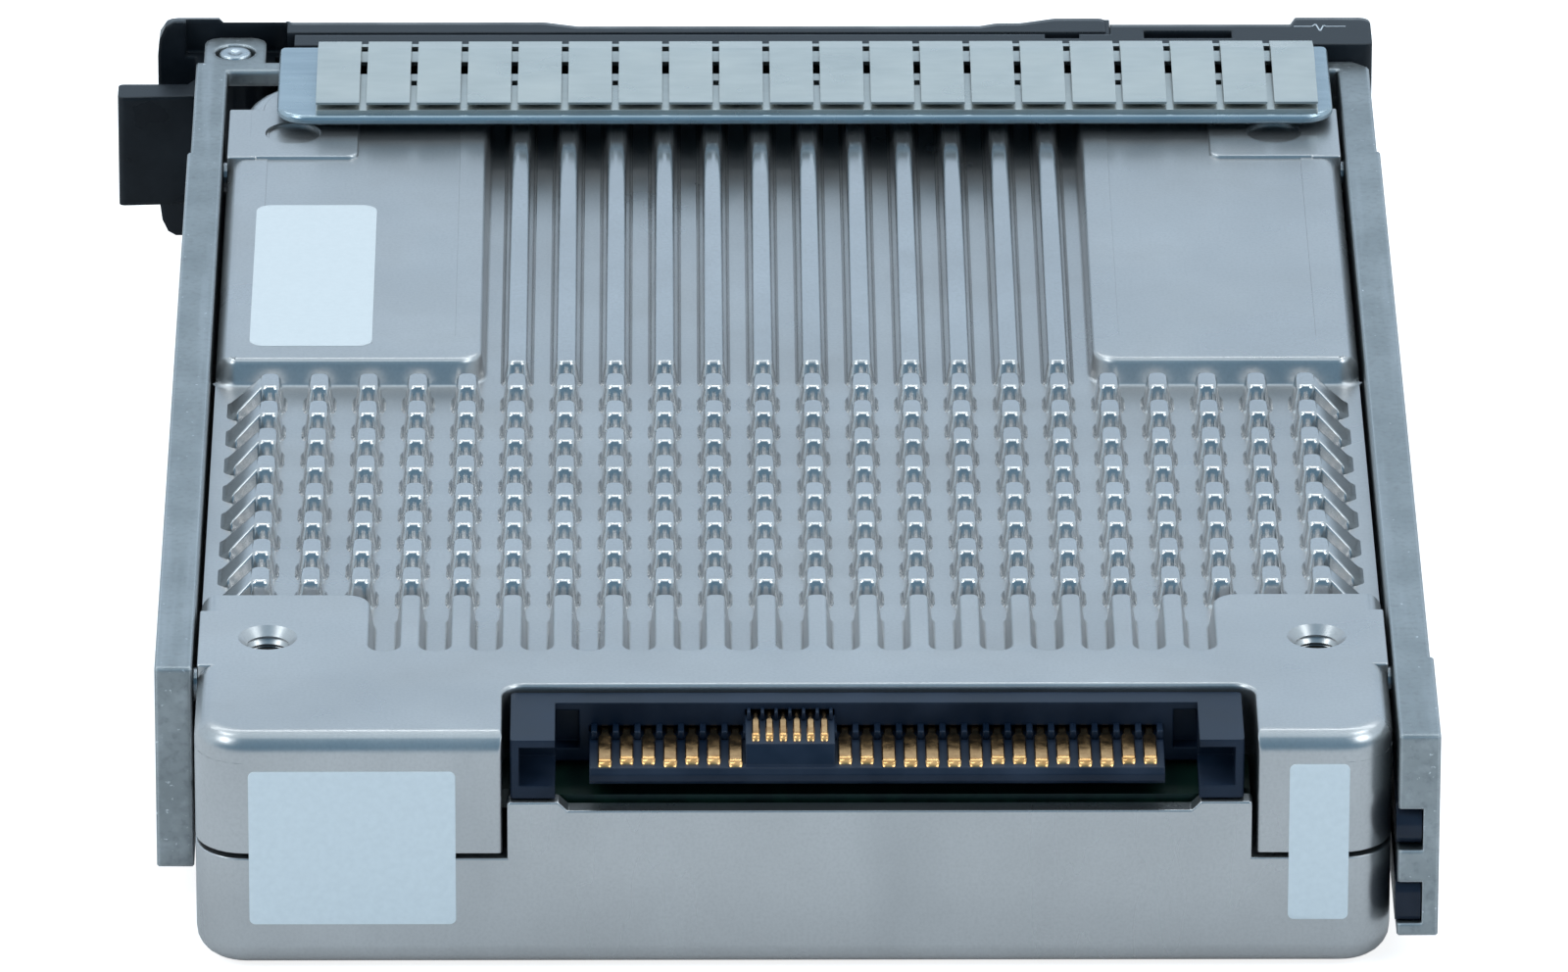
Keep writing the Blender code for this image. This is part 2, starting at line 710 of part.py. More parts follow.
def side_hole_places(reach):
    """Give the four side screw places, with +Z out of the drive, at a distance from its middle."""
    height = DRIVE_HEIGHT - SIDE_HOLE_DROP
    return [
        Matrix.Translation((side * reach, y, height)) @ sideways(side)
        for side in (-1, 1)
        for y in (NEAR_HOLE, FAR_HOLE)
    ]


def fin_places(count):
    """Give the centre lines of a number of columns, spread evenly about the middle."""
    return [(index - (count - 1) / 2) * FIN_PITCH for index in range(count)]


def heat_sink_pocket():
    """Make the form between the plateau, the ribs and the pads that is cut to the fins' floor."""
    half_gap = (FIN_PITCH - FIN_TOP_WIDTH) / 2 - FIN_DRAFT

    def corners(spread):
        wide = HALF_WIDTH + OVERSHOOT
        near = PLATEAU_END - spread
        valley = half_gap + spread
        edge = [(-wide, near)]
        for x in fin_places(RIBS + 1):
            edge.append((x - valley, near))
            edge.append((x - valley, VALLEY_START - spread, valley * FULL_ROUND))
            edge.append((x + valley, VALLEY_START - spread, valley * FULL_ROUND))
            edge.append((x + valley, near))
        bay = BAY_HALF_WIDTH + spread
        pad = LONG_FIN_START + spread
        far = DRIVE_LENGTH + OVERSHOOT
        edge += [(wide, near), (wide, pad), (bay, pad, PAD_CORNER_RADIUS), (bay, far)]
        edge += [(-bay, far), (-bay, pad, PAD_CORNER_RADIUS), (-wide, pad)]
        return edge

    bm = bmesh.new()
    levels = [(FIN_FLOOR, 0.0), (DRIVE_HEIGHT, FIN_DRAFT), (DRIVE_HEIGHT + OVERSHOOT, FIN_DRAFT)]
    add_loft(bm, [[(*point, height) for point in outline(corners(spread))] for height, spread in levels])
    return from_bmesh("heat_sink_pocket", bm)


def pin_rows():
    """Give the near edge of each row of pins."""
    return [LONG_FIN_START - PIN_PITCH * (row + 1) for row in range(PIN_ROWS)]


def fins():
    """Make the pins and the long fins, rooted a little in the floor."""
    bm = bmesh.new()
    half = FIN_TOP_WIDTH / 2
    foot = FIN_FLOOR - ROOT
    draft = FIN_DRAFT * (FIN_HEIGHT + ROOT) / FIN_HEIGHT
    for x in fin_places(FIN_COLUMNS):
        for y in pin_rows():
            add_drafted_bar(bm, (x - half, y, foot), (x + half, y + PIN_TOP_LENGTH, DRIVE_HEIGHT), draft)
    for x in fin_places(LONG_FINS):
        far = DRIVE_LENGTH - FIN_DRAFT * 2
        add_drafted_bar(bm, (x - half, LONG_FIN_START, foot), (x + half, far, DRIVE_HEIGHT), draft)
    return from_bmesh("fins", bm)


def tails():
    """Make the slanting bars that lead from the outermost pins to the sides."""
    bm = bmesh.new()
    half = TAIL_WIDTH / 2
    foot = FIN_FLOOR - ROOT
    outermost = fin_places(FIN_COLUMNS)[-1]
    for side in (-1, 1):
        for y in pin_rows():
            place = Matrix.Translation((side * outermost, y + PIN_TOP_LENGTH / 2, 0.0))
            slant = Matrix.Rotation(side * TAIL_ANGLE, 4, "Z")
            add_drafted_bar(
                bm,
                (-half, -TAIL_LENGTH, foot),
                (half, 0.0, DRIVE_HEIGHT - 2 * FACE_STEP),
                TAIL_DRAFT,
                place @ slant,
            )
    return from_bmesh("tails", bm)


def pad_relief():
    """Make the shallow cut that leaves the far screw bosses proud of the pads."""
    boss = HALF_WIDTH - PAD_BOSS_WIDTH
    near = FAR_HOLE - PAD_BOSS_REACH
    start = LONG_FIN_START - FIN_PITCH / 2
    plan = outline(mirrored([
        (HALF_WIDTH + OVERSHOOT, start),
        (HALF_WIDTH + OVERSHOOT, near),
        (boss, near, PAD_BOSS_RADIUS),
        (boss, DRIVE_LENGTH + OVERSHOOT),
    ]))
    return prism("pad_relief", plan, DRIVE_HEIGHT - PAD_DROP, DRIVE_HEIGHT + OVERSHOOT)


def sharp_bosses():
    """Make the unfilleted stretches of the top edge beside the side screw holes."""
    pairs = []
    middle = HALF_WIDTH - FACE_STEP - SHARP_BOSS_WIDTH / 2
    for place in hole_places(middle, (NEAR_HOLE, FAR_HOLE)):
        half = Vector((SHARP_BOSS_WIDTH / 2, SHARP_BOSS_LENGTH / 2, 0.0))
        pairs.append((place - half + Vector((0.0, 0.0, DRIVE_HEIGHT - SHARP_BOSS_HEIGHT)),
                      place + half + Vector((0.0, 0.0, DRIVE_HEIGHT - FACE_STEP))))
    return blocks("sharp_bosses", pairs)


def finned_case():
    """Make the cast upper half of the case, which is the drive's heat sink."""
    case = prism("finned_case", case_outline(), CASE_UNDERSIDE, DRIVE_HEIGHT)
    rounded_edges(case, TOP_FILLET, at_height(DRIVE_HEIGHT))
    hollow = prism("case_hollow", cavity_outline(), CASE_UNDERSIDE - OVERSHOOT, CEILING)
    notch_plan = outline([
        (NOTCH_LEFT, -OVERSHOOT),
        (NOTCH_RIGHT, -OVERSHOOT),
        (NOTCH_RIGHT, NOTCH_DEPTH, NOTCH_RADIUS),
        (NOTCH_LEFT, NOTCH_DEPTH, NOTCH_RADIUS),
    ])
    notch = prism("notch", notch_plan, CASE_UNDERSIDE - OVERSHOOT, DRIVE_HEIGHT + OVERSHOOT)
    sink = COUNTERSINK_RADIUS - HOLE_RADIUS
    screw_hole = turned("screw_hole", [
        (0.0, DRIVE_HEIGHT + OVERSHOOT),
        (COUNTERSINK_RADIUS + OVERSHOOT, DRIVE_HEIGHT + OVERSHOOT),
        (HOLE_RADIUS, DRIVE_HEIGHT - sink),
        (HOLE_RADIUS, DRIVE_HEIGHT - HOLE_DEPTH),
        (0.0, DRIVE_HEIGHT - HOLE_DEPTH),
    ])
    rows = (NEAR_HOLE, FAR_HOLE)
    top_places = [Matrix.Translation(place) for place in hole_places(HOLE_SPACING / 2, rows)]
    side_hole = turned("side_hole", [
        (0.0, OVERSHOOT),
        (HOLE_RADIUS, OVERSHOOT),
        (HOLE_RADIUS, -SIDE_HOLE_DEPTH),
        (0.0, -SIDE_HOLE_DEPTH),
    ])
    thread_end = CASE_SCREW_RECESS + CASE_SCREW_LENGTH + CLEARANCE
    thread = turned("thread", [
        (0.0, thread_end),
        (CASE_SCREW_SHANK_RADIUS + CLEARANCE, thread_end),
        (CASE_SCREW_SHANK_RADIUS + CLEARANCE, CASE_UNDERSIDE - OVERSHOOT),
        (0.0, CASE_UNDERSIDE - OVERSHOOT),
    ], TURNED_STEPS // 2)
    cut(case, far_end_steps("case_steps"), hollow, notch, heat_sink_pocket())
    join(case, sharp_bosses(), fins(), tails())
    cut(case, pad_relief())
    cut(case, placed("screw_holes", screw_hole, top_places))
    cut(case, placed("side_holes", side_hole, side_hole_places(HALF_WIDTH)))
    cut(case, placed("case_threads", thread, case_screw_places()))
    return as_part(case, "finned_case", CAST_ALUMINIUM)


def case_screw_places():
    """Give the four case screws' places."""
    rows = (CASE_SCREW_END_INSET, DRIVE_LENGTH - CASE_SCREW_END_INSET)
    return [Matrix.Translation(place) for place in hole_places(HALF_WIDTH - CASE_SCREW_SIDE_INSET, rows)]


def upstand():
    """Make the wall of the cover that rises under the connector, lower between its two ears."""
    left = NOTCH_LEFT + CLEARANCE
    right = NOTCH_RIGHT - CLEARANCE
    ear = SEAM_HEIGHT + UPSTAND_EAR_HEIGHT
    sill = SEAM_HEIGHT + UPSTAND_SILL_HEIGHT
    fall = ear - sill
    face = [
        (left, SEAM_HEIGHT - ROOT),
        (right, SEAM_HEIGHT - ROOT),
        (right, ear),
        (right - UPSTAND_EAR_WIDTH, ear),
        (right - UPSTAND_EAR_WIDTH - fall, sill),
        (left + UPSTAND_EAR_WIDTH + fall, sill),
        (left + UPSTAND_EAR_WIDTH, ear),
        (left, ear),
    ]
    return prism("upstand", outline(face), -UPSTAND_THICKNESS, 0.0, FACING_BACK)


def post_places():
    """Give the four posts under the board."""
    x = HALF_WIDTH - CORNER_BLOCK_WIDTH - POST_INSET
    inset = CASE_WALL + POST_INSET
    return [Matrix.Translation(place) for place in hole_places(x, (inset, DRIVE_LENGTH - inset))]


def cover_case():
    """Make the cast lower half, which the drive rests on."""
    cover = prism("cover_case", case_outline(), 0.0, SEAM_HEIGHT)
    rounded_edges(cover, BOTTOM_FILLET, at_height(0.0))
    hollow = prism("cover_hollow", cavity_outline(), COVER_FLOOR, SEAM_HEIGHT + OVERSHOOT)
    post_top = BOARD_UNDERSIDE - CLEARANCE
    post = turned("post", [
        (0.0, post_top),
        (POST_RADIUS, post_top),
        (POST_RADIUS, COVER_FLOOR - ROOT),
        (0.0, COVER_FLOOR - ROOT),
    ], TURNED_STEPS // 2)
    half = CONTROLLER_SIZE / 2
    pedestal_top = BOARD_UNDERSIDE - PEDESTAL_JOINTS * CLEARANCE - CHIP_THICKNESS - PAD_THICKNESS
    pedestal = block(
        "pedestal",
        (-half, CONTROLLER_PLACE - half, COVER_FLOOR - ROOT),
        (half, CONTROLLER_PLACE + half, pedestal_top),
    )
    seat = CASE_SCREW_RECESS + CASE_SCREW_HEAD_HEIGHT + CLEARANCE
    screw_way = turned("screw_way", [
        (0.0, SEAM_HEIGHT + OVERSHOOT),
        (CASE_SCREW_SHANK_RADIUS + CLEARANCE, SEAM_HEIGHT + OVERSHOOT),
        (CASE_SCREW_SHANK_RADIUS + CLEARANCE, seat),
        (CASE_SCREW_HEAD_RADIUS + CLEARANCE, seat),
        (CASE_SCREW_HEAD_RADIUS + CLEARANCE, -OVERSHOOT),
        (0.0, -OVERSHOOT),
    ])
    cut(cover, far_end_steps("cover_steps"), hollow)
    join(cover, upstand(), placed("posts", post, post_places()), pedestal)
    cut(cover, placed("screw_ways", screw_way, case_screw_places()))
    return as_part(cover, "cover_case", CAST_ALUMINIUM)


def case_screws():
    """Make the four screws that close the case, with a socket in each head."""
    head_top = CASE_SCREW_RECESS + CASE_SCREW_HEAD_HEIGHT
    screw = turned("case_screw", [
        (0.0, CASE_SCREW_RECESS + CASE_SCREW_LENGTH),
        (CASE_SCREW_SHANK_RADIUS, CASE_SCREW_RECESS + CASE_SCREW_LENGTH),
        (CASE_SCREW_SHANK_RADIUS, head_top),
        (CASE_SCREW_HEAD_RADIUS, head_top),
        (CASE_SCREW_HEAD_RADIUS, CASE_SCREW_RECESS),
        (SOCKET_RADIUS, CASE_SCREW_RECESS),
        (SOCKET_RADIUS, CASE_SCREW_RECESS + SOCKET_DEPTH),
        (0.0, CASE_SCREW_RECESS + SOCKET_DEPTH),
    ])
    copies("case_screw", screw, case_screw_places(), SCREW_STEEL, True)


def circuit_board():
    """Make the board, whose tongue reaches out under the connector."""
    narrow = HALF_WIDTH - CORNER_BLOCK_WIDTH - CLEARANCE
    wide = HALF_WIDTH - CASE_WALL - CLEARANCE
    near = CASE_WALL + CLEARANCE
    tongue_near = UPSTAND_THICKNESS + BOARD_TONGUE_RECESS
    first = NEAR_BLOCK_LENGTH + BLOCK_SLOPE + CLEARANCE
    second = DRIVE_LENGTH - FAR_BLOCK_LENGTH - BLOCK_SLOPE - CLEARANCE
    far = DRIVE_LENGTH - CASE_WALL - CLEARANCE
    plan = outline([
        (-narrow, near, CASE_WALL / 2),
        (HOUSING_LEFT, near),
        (HOUSING_LEFT, tongue_near),
        (HOUSING_RIGHT, tongue_near),
        (HOUSING_RIGHT, near),
        (narrow, near),
        (narrow, first),
        (wide, first),
        (wide, second),
        (narrow, second),
        (narrow, far, CASE_WALL / 2),
        (-narrow, far, CASE_WALL / 2),
        (-narrow, second),
        (-wide, second),
        (-wide, first),
        (-narrow, first),
    ])
    board = prism("circuit_board", plan, BOARD_UNDERSIDE, BOARD_TOP)
    as_part(board, "circuit_board", BOARD_GREEN)


def chips(name, places, size, low, material):
    """Make flat packages of one size, with their undersides at one height."""
    bm = bmesh.new()
    add_block(bm, (-size[0] / 2, -size[1] / 2, 0.0), (size[0] / 2, size[1] / 2, size[2]))
    copies(name, bm, [Matrix.Translation((x, y, low)) for x, y in places], material)


def board_parts():
    """Make what is soldered to the board."""
    above = BOARD_TOP + CLEARANCE
    below = BOARD_UNDERSIDE - CLEARANCE
    middle = [(0.0, CONTROLLER_PLACE)]
    controller = (CONTROLLER_SIZE, CONTROLLER_SIZE, CHIP_THICKNESS)
    chips("controller_chip", middle, controller, below - CHIP_THICKNESS, CHIP_BLACK)
    pad = (CONTROLLER_SIZE, CONTROLLER_SIZE, PAD_THICKNESS)
    chips("thermal_pad", middle, pad, below - CHIP_THICKNESS - CLEARANCE - PAD_THICKNESS, PAD_GREY)
    flash = [(side * FLASH_SIDE_PLACE, y) for side in (-1, 1) for y in FLASH_ROWS]
    chips("flash_chip", flash, (FLASH_WIDTH, FLASH_LENGTH, CHIP_THICKNESS), above, CHIP_BLACK)
    memory = (MEMORY_WIDTH, MEMORY_LENGTH, CHIP_THICKNESS)
    chips("memory_chip", [(0.0, MEMORY_PLACE)], memory, above, CHIP_BLACK)


def capacitors():
    """Make the capacitors that lie across the drive under the board."""
    can = turned("can", [
        (0.0, CAPACITOR_LENGTH / 2),
        (CAPACITOR_RADIUS, CAPACITOR_LENGTH / 2),
        (CAPACITOR_RADIUS, -CAPACITOR_LENGTH / 2),
        (0.0, -CAPACITOR_LENGTH / 2),
    ], TURNED_STEPS // 2)
    height = BOARD_UNDERSIDE - CLEARANCE - CAPACITOR_RADIUS
    places = []
    for index in range(CAPACITORS):
        x = (index - (CAPACITORS - 1) / 2) * CAPACITOR_PITCH
        places.append(Matrix.Translation((x, CAPACITOR_PLACE, height)) @ sideways(1))
    copies("capacitor", can, places, CHIP_BLACK, True)


def connector_housing():
    """Make the plug's moulding: two guides, a back wall and the tongue between them."""
    left = HOUSING_LEFT
    right = HOUSING_RIGHT
    bottom = BOARD_TOP + CLEARANCE
    top = DRIVE_HEIGHT - HOUSING_TOP_DROP
    back = NOTCH_DEPTH - CLEARANCE
    wall = back - HOUSING_BACK_WALL
    plan = outline(rectangle(left, right, HOUSING_FACE, back, HOUSING_RADIUS), SMALL_ARC_STEPS)
    housing = prism("connector_housing", plan, bottom, top)
    mouth_left = left + GUIDE_WIDTH
    mouth_right = right - GUIDE_WIDTH
    mouth = block(
        "mouth",
        (mouth_left, HOUSING_FACE - OVERSHOOT, bottom - OVERSHOOT),
        (mouth_right, wall, top + OVERSHOOT),
    )
    middle = (TONGUE_TOP - TONGUE_THICKNESS / 2 + top) / 2 - GUIDE_SKIN
    low = middle - GUIDE_POCKET_HEIGHT / 2
    high = middle + GUIDE_POCKET_HEIGHT / 2
    pocket_far = HOUSING_FACE + GUIDE_POCKET_DEPTH
    hole_far = wall + BACK_HOLE_DEPTH
    pockets = blocks("guide_pockets", [
        ((left + GUIDE_SKIN, -OVERSHOOT, low), (mouth_left + OVERSHOOT, pocket_far, high)),
        ((mouth_right - OVERSHOOT, -OVERSHOOT, low), (right - GUIDE_SKIN, pocket_far, high)),
        ((mouth_left, wall - OVERSHOOT, low), (mouth_left + BACK_HOLE_WIDTH, hole_far, high)),
        ((mouth_right - BACK_HOLE_WIDTH, wall - OVERSHOOT, low), (mouth_right, hole_far, high)),
    ])
    nose = HOUSING_FACE - TONGUE_OVERHANG
    underside = TONGUE_TOP - TONGUE_THICKNESS
    tongue_side = outline([
        (nose + TONGUE_NOSE, -underside),
        (nose, -(underside + TONGUE_NOSE)),
        (nose, -(TONGUE_TOP - TONGUE_NOSE)),
        (nose + TONGUE_NOSE, -TONGUE_TOP),
        (wall + ROOT, -TONGUE_TOP),
        (wall + ROOT, -underside),
    ])
    tongue = prism("tongue", tongue_side, TONGUE_START, TONGUE_END, FROM_LEFT)
    key_top = TONGUE_TOP + KEY_HEIGHT
    key_side = outline([
        (nose + KEY_SETBACK, -(TONGUE_TOP - ROOT)),
        (nose + KEY_SETBACK + KEY_SLOPE, -key_top),
        (wall + ROOT, -key_top),
        (wall + ROOT, -(TONGUE_TOP - ROOT)),
    ])
    key_left = KEY_CENTRE - KEY_WIDTH / 2
    key_right = KEY_CENTRE + KEY_WIDTH / 2
    key = prism("key", key_side, key_left, key_right, FROM_LEFT)
    slot_far = wall + CONTACT_ROOT + 2 * CLEARANCE
    slot_rise = 2 * CONTACT_CLEARANCE + CONTACT_THICKNESS
    stretches = [
        (TONGUE_START, key_left, TONGUE_TOP),
        (key_left, key_right, key_top),
        (key_right, TONGUE_END, TONGUE_TOP),
    ]
    slots = blocks("contact_slots", [
        ((start, wall - OVERSHOOT, seat), (end, slot_far, seat + slot_rise))
        for start, end, seat in stretches
    ])
    cut(housing, mouth, pockets, slots)
    join(housing, tongue, key)
    as_part(housing, "connector_housing", NAVY_PLASTIC)


def contacts(name, start, pitch, count, width, seat, tip_of):
    """Make a row of flat contacts on the tongue, each a piece of its own."""
    root = NOTCH_DEPTH - CLEARANCE - HOUSING_BACK_WALL + CONTACT_ROOT
    slope = CONTACT_THICKNESS / 2
    for index in range(count):
        bm = bmesh.new()
        add_drafted_bar(bm, (slope - width / 2, tip_of(index) + slope, 0.0),
                        (width / 2 - slope, root - slope, CONTACT_THICKNESS), slope)
        place = Matrix.Translation((start + index * pitch, 0.0, seat + CONTACT_CLEARANCE))
        copies(f"{name}_{index + 1}", bm, [place], GOLD)


def all_contacts():
    """Make the three groups of contacts."""

    def tips(long_ones):
        return lambda index: LONG_CONTACT_TIP if index in long_ones else SHORT_CONTACT_TIP

    contacts("signal_contact", SIGNAL_START, CONTACT_PITCH, SIGNAL_CONTACTS, CONTACT_WIDTH,
             TONGUE_TOP, tips(LONG_SIGNALS))
    contacts("power_contact", POWER_START, CONTACT_PITCH, POWER_CONTACTS, CONTACT_WIDTH,
             TONGUE_TOP, tips(LONG_POWERS))
    contacts("auxiliary_contact", AUXILIARY_START, AUXILIARY_PITCH, AUXILIARY_CONTACTS, AUXILIARY_WIDTH,
             TONGUE_TOP + KEY_HEIGHT, tips(()))


def carrier_outline():
    """Give the plan of the two rails and the wall between them."""
    stepped = RAIL_OUTER - RAIL_STEP
    step = WALL_FAR - RAIL_STEP_LENGTH
    padded = RAIL_OUTER + RAIL_PAD
    return outline([
        (-RAIL_OUTER, LEFT_RAIL_START),
        (-RAIL_INNER, LEFT_RAIL_START),
        (-RAIL_INNER, WALL_NEAR),
        (RAIL_INNER, WALL_NEAR),
        (RAIL_INNER, 0.0),
        (padded, 0.0),
        (padded, RAIL_PAD_LENGTH),
        (RAIL_OUTER, RAIL_PAD_LENGTH),
        (RAIL_OUTER, step),
        (stepped, step),
        (stepped, WALL_FAR - RAIL_FAR_CHAMFER),
        (stepped - RAIL_FAR_CHAMFER, WALL_FAR),
        (-stepped, WALL_FAR),
        (-stepped, step),
        (-RAIL_OUTER, step),
    ])


def pipe_way(middle, far):
    """Give the low and high corners of the way that a light pipe lies in."""
    half = PIPE_HEIGHT / 2 + CLEARANCE
    return (
        (RAIL_INNER - OVERSHOOT, -OVERSHOOT, middle - half),
        (RAIL_INNER + PIPE_WIDTH + CLEARANCE, far, middle + half),
    )


def stakes(name, grow, low, high):
    """Make the cast stakes that the plate is fixed on, or the slots for them."""
    near = WALL_NEAR + STAKE_WALL + CLEARANCE - grow
    far = WALL_FAR - STAKE_WALL - CLEARANCE + grow
    half = STAKE_WIDTH / 2 + grow
    return blocks(name, [((x - half, near, low), (x + half, far, high)) for x in STAKE_PLACES])


def carrier_frame():
    """Make the cast frame that slides in the bay, with the hinge tabs of the lever."""
    frame = prism("carrier_frame", carrier_outline(), RAIL_UNDERSIDE, DRIVE_HEIGHT)
    top_edge = at_height(DRIVE_HEIGHT)
    bottom_edge = at_height(RAIL_UNDERSIDE)
    rounded_edges(frame, RAIL_EDGE, lambda point: top_edge(point) or bottom_edge(point), 1)
    outside = -RAIL_OUTER - OVERSHOOT
    beyond = WALL_FAR + OVERSHOOT
    tab_low = RAIL_UNDERSIDE + TAB_THICKNESS
    tab_high = DRIVE_HEIGHT - TAB_THICKNESS
    window = block(
        "hook_window",
        (outside, WALL_FAR - HOOK_WINDOW, HOOK_SILL + RAIL_UNDERSIDE - CLEARANCE),
        (-RAIL_INNER + OVERSHOOT, beyond, tab_high - 2 * FACE_STEP),
    )
    bay = block(
        "hinge_bay",
        (outside, WALL_NEAR - CLEARANCE, tab_low + FACE_STEP),
        (BAY_EDGE, beyond, tab_high - FACE_STEP),
    )
    tab_plan = outline([
        (PIVOT.x - TAB_WIDTH / 2, WALL_NEAR + CLEARANCE),
        (PIVOT.x + TAB_WIDTH / 2, WALL_NEAR + CLEARANCE),
        (PIVOT.x + TAB_WIDTH / 2, PIVOT.y + TAB_REACH, TAB_RADIUS),
        (PIVOT.x - TAB_WIDTH / 2, PIVOT.y + TAB_REACH, TAB_RADIUS),
    ])
    upper_tab = prism("upper_tab", tab_plan, tab_high, DRIVE_HEIGHT - FACE_STEP)
    lower_tab = prism("lower_tab", tab_plan, RAIL_UNDERSIDE + FACE_STEP, tab_low)
    pin_hole = turned("pin_hole", [
        (0.0, DRIVE_HEIGHT + OVERSHOOT),
        (PIN_RADIUS + CLEARANCE, DRIVE_HEIGHT + OVERSHOOT),
        (PIN_RADIUS + CLEARANCE, RAIL_UNDERSIDE - OVERSHOOT),
        (0.0, RAIL_UNDERSIDE - OVERSHOOT),
    ])
    hinge = [Matrix.Translation((*PIVOT, 0.0))]
    vent_middle = (RAIL_UNDERSIDE + DRIVE_HEIGHT) / 2
    cut(frame, window, bay)
    join(frame, upper_tab, lower_tab)
    cut(frame, placed("pin_holes", pin_hole, hinge))
    for index in range(VENTS):
        x = VENT_CENTRE + (index - (VENTS - 1) / 2) * VENT_PITCH
        face = outline(rectangle(x - VENT_WIDTH / 2, x + VENT_WIDTH / 2, vent_middle - VENT_HEIGHT / 2,
                                 vent_middle + VENT_HEIGHT / 2, VENT_RADIUS), SMALL_ARC_STEPS)
        cut(frame, prism("vent", face, -beyond, -WALL_NEAR + OVERSHOOT, FACING_BACK))
    for middle in (LOWER_PIPE, UPPER_PIPE):
        cut(frame, block("pipe_way", *pipe_way(middle, beyond)))
    head = SIDE_SCREW_HEAD_HEIGHT + CLEARANCE
    screw_way = turned("side_screw_way", [
        (0.0, OVERSHOOT),
        (SIDE_SCREW_HEAD_RADIUS + CLEARANCE, OVERSHOOT),
        (SIDE_SCREW_HEAD_RADIUS + CLEARANCE, 0.0),
        (SIDE_SCREW_SHANK_RADIUS + CLEARANCE, -head),
        (SIDE_SCREW_SHANK_RADIUS + CLEARANCE, -RAIL_THICKNESS - OVERSHOOT),
        (0.0, -RAIL_THICKNESS - OVERSHOOT),
    ])
    cut(frame, placed("side_screw_ways", screw_way, side_hole_places(RAIL_OUTER - RAIL_STEP)))
    join(frame, stakes("stakes", 0.0, DRIVE_HEIGHT - ROOT, PLATE_TOP))
    as_part(frame, "carrier_frame", CAST_ZINC)


def side_screws():
    """Make the four countersunk screws that hold the drive between the rails."""
    reach = RAIL_THICKNESS + CLEARANCE + SIDE_SCREW_GRIP - RAIL_STEP
    screw = turned("side_screw", [
        (0.0, -SOCKET_DEPTH),
        (SOCKET_RADIUS, -SOCKET_DEPTH),
        (SOCKET_RADIUS, -CONTACT_CLEARANCE),
        (SIDE_SCREW_HEAD_RADIUS, -CONTACT_CLEARANCE),
        (SIDE_SCREW_SHANK_RADIUS, -SIDE_SCREW_HEAD_HEIGHT - CONTACT_CLEARANCE),
        (SIDE_SCREW_SHANK_RADIUS, -reach),
        (0.0, -reach),
    ])
    copies("side_screw", screw, side_hole_places(RAIL_OUTER - RAIL_STEP), SCREW_STEEL, True)


def strip_holes(name, low, high):
    """Make the square holes that show between the fingers."""
    gap = (FINGER_PITCH - FINGER_WIDTH) / 2
    near = WALL_FAR - STRIP_HOLE_PLACE - STRIP_HOLE_LENGTH
    pairs = []
    for index in range(FINGERS - 1):
        x = FINGER_CENTRE + (index - (FINGERS - 2) / 2) * FINGER_PITCH
        pairs.append(((x - gap, near, low), (x + gap, near + STRIP_HOLE_LENGTH, high)))
    return blocks(name, pairs)


def shielding_plate():
    """Make the flat plate over the far end of the drive."""
    plan = outline([
        (PLATE_LEFT, PLATE_NEAR, PLATE_RADIUS),
        (PLATE_RIGHT, PLATE_NEAR, PLATE_RADIUS),
        (PLATE_RIGHT, WALL_FAR),
        (PLATE_LEFT, WALL_FAR),
    ])
    plate = prism("shielding_plate", plan, PLATE_UNDERSIDE, PLATE_TOP)
    rounded_edges(plate, RAIL_EDGE, at_height(PLATE_TOP), SMALL_ARC_STEPS)
    low = PLATE_UNDERSIDE - OVERSHOOT
    high = PLATE_TOP + OVERSHOOT
    cut(plate, stakes("stake_slots", CLEARANCE, low, high), strip_holes("plate_holes", low, high))
    as_part(plate, "shielding_plate", ZINC_PLATE)


def finger_profile():
    """Give the strip's path from its near edge, round the far fold and back to the lip."""
    near = PLATE_NEAR + FINGER_MARGIN
    far = WALL_FAR - FINGER_FOLD_RADIUS
    seat = CONTACT_CLEARANCE + FINGER_THICKNESS / 2
    rise = seat + FINGER_FOLD_RADIUS
    base = [(near + FINGER_LIP, seat), (far - 3 * FINGER_FOLD_RADIUS, seat), (far, seat)]
    fold = [(far + FINGER_FOLD_RADIUS, rise), (far, rise + FINGER_FOLD_RADIUS)]
    finger = [
        (WALL_FAR - FINGER_CREST_PLACE, FINGER_CREST_HEIGHT),
        (near + FINGER_LIP * 2, FINGER_NOSE_HEIGHT),
        (near + FINGER_LIP / 2, FINGER_NOSE_HEIGHT - FINGER_NOSE_FALL),
        (near, seat + FINGER_THICKNESS),
    ]
    return base + fold + finger, len(base)


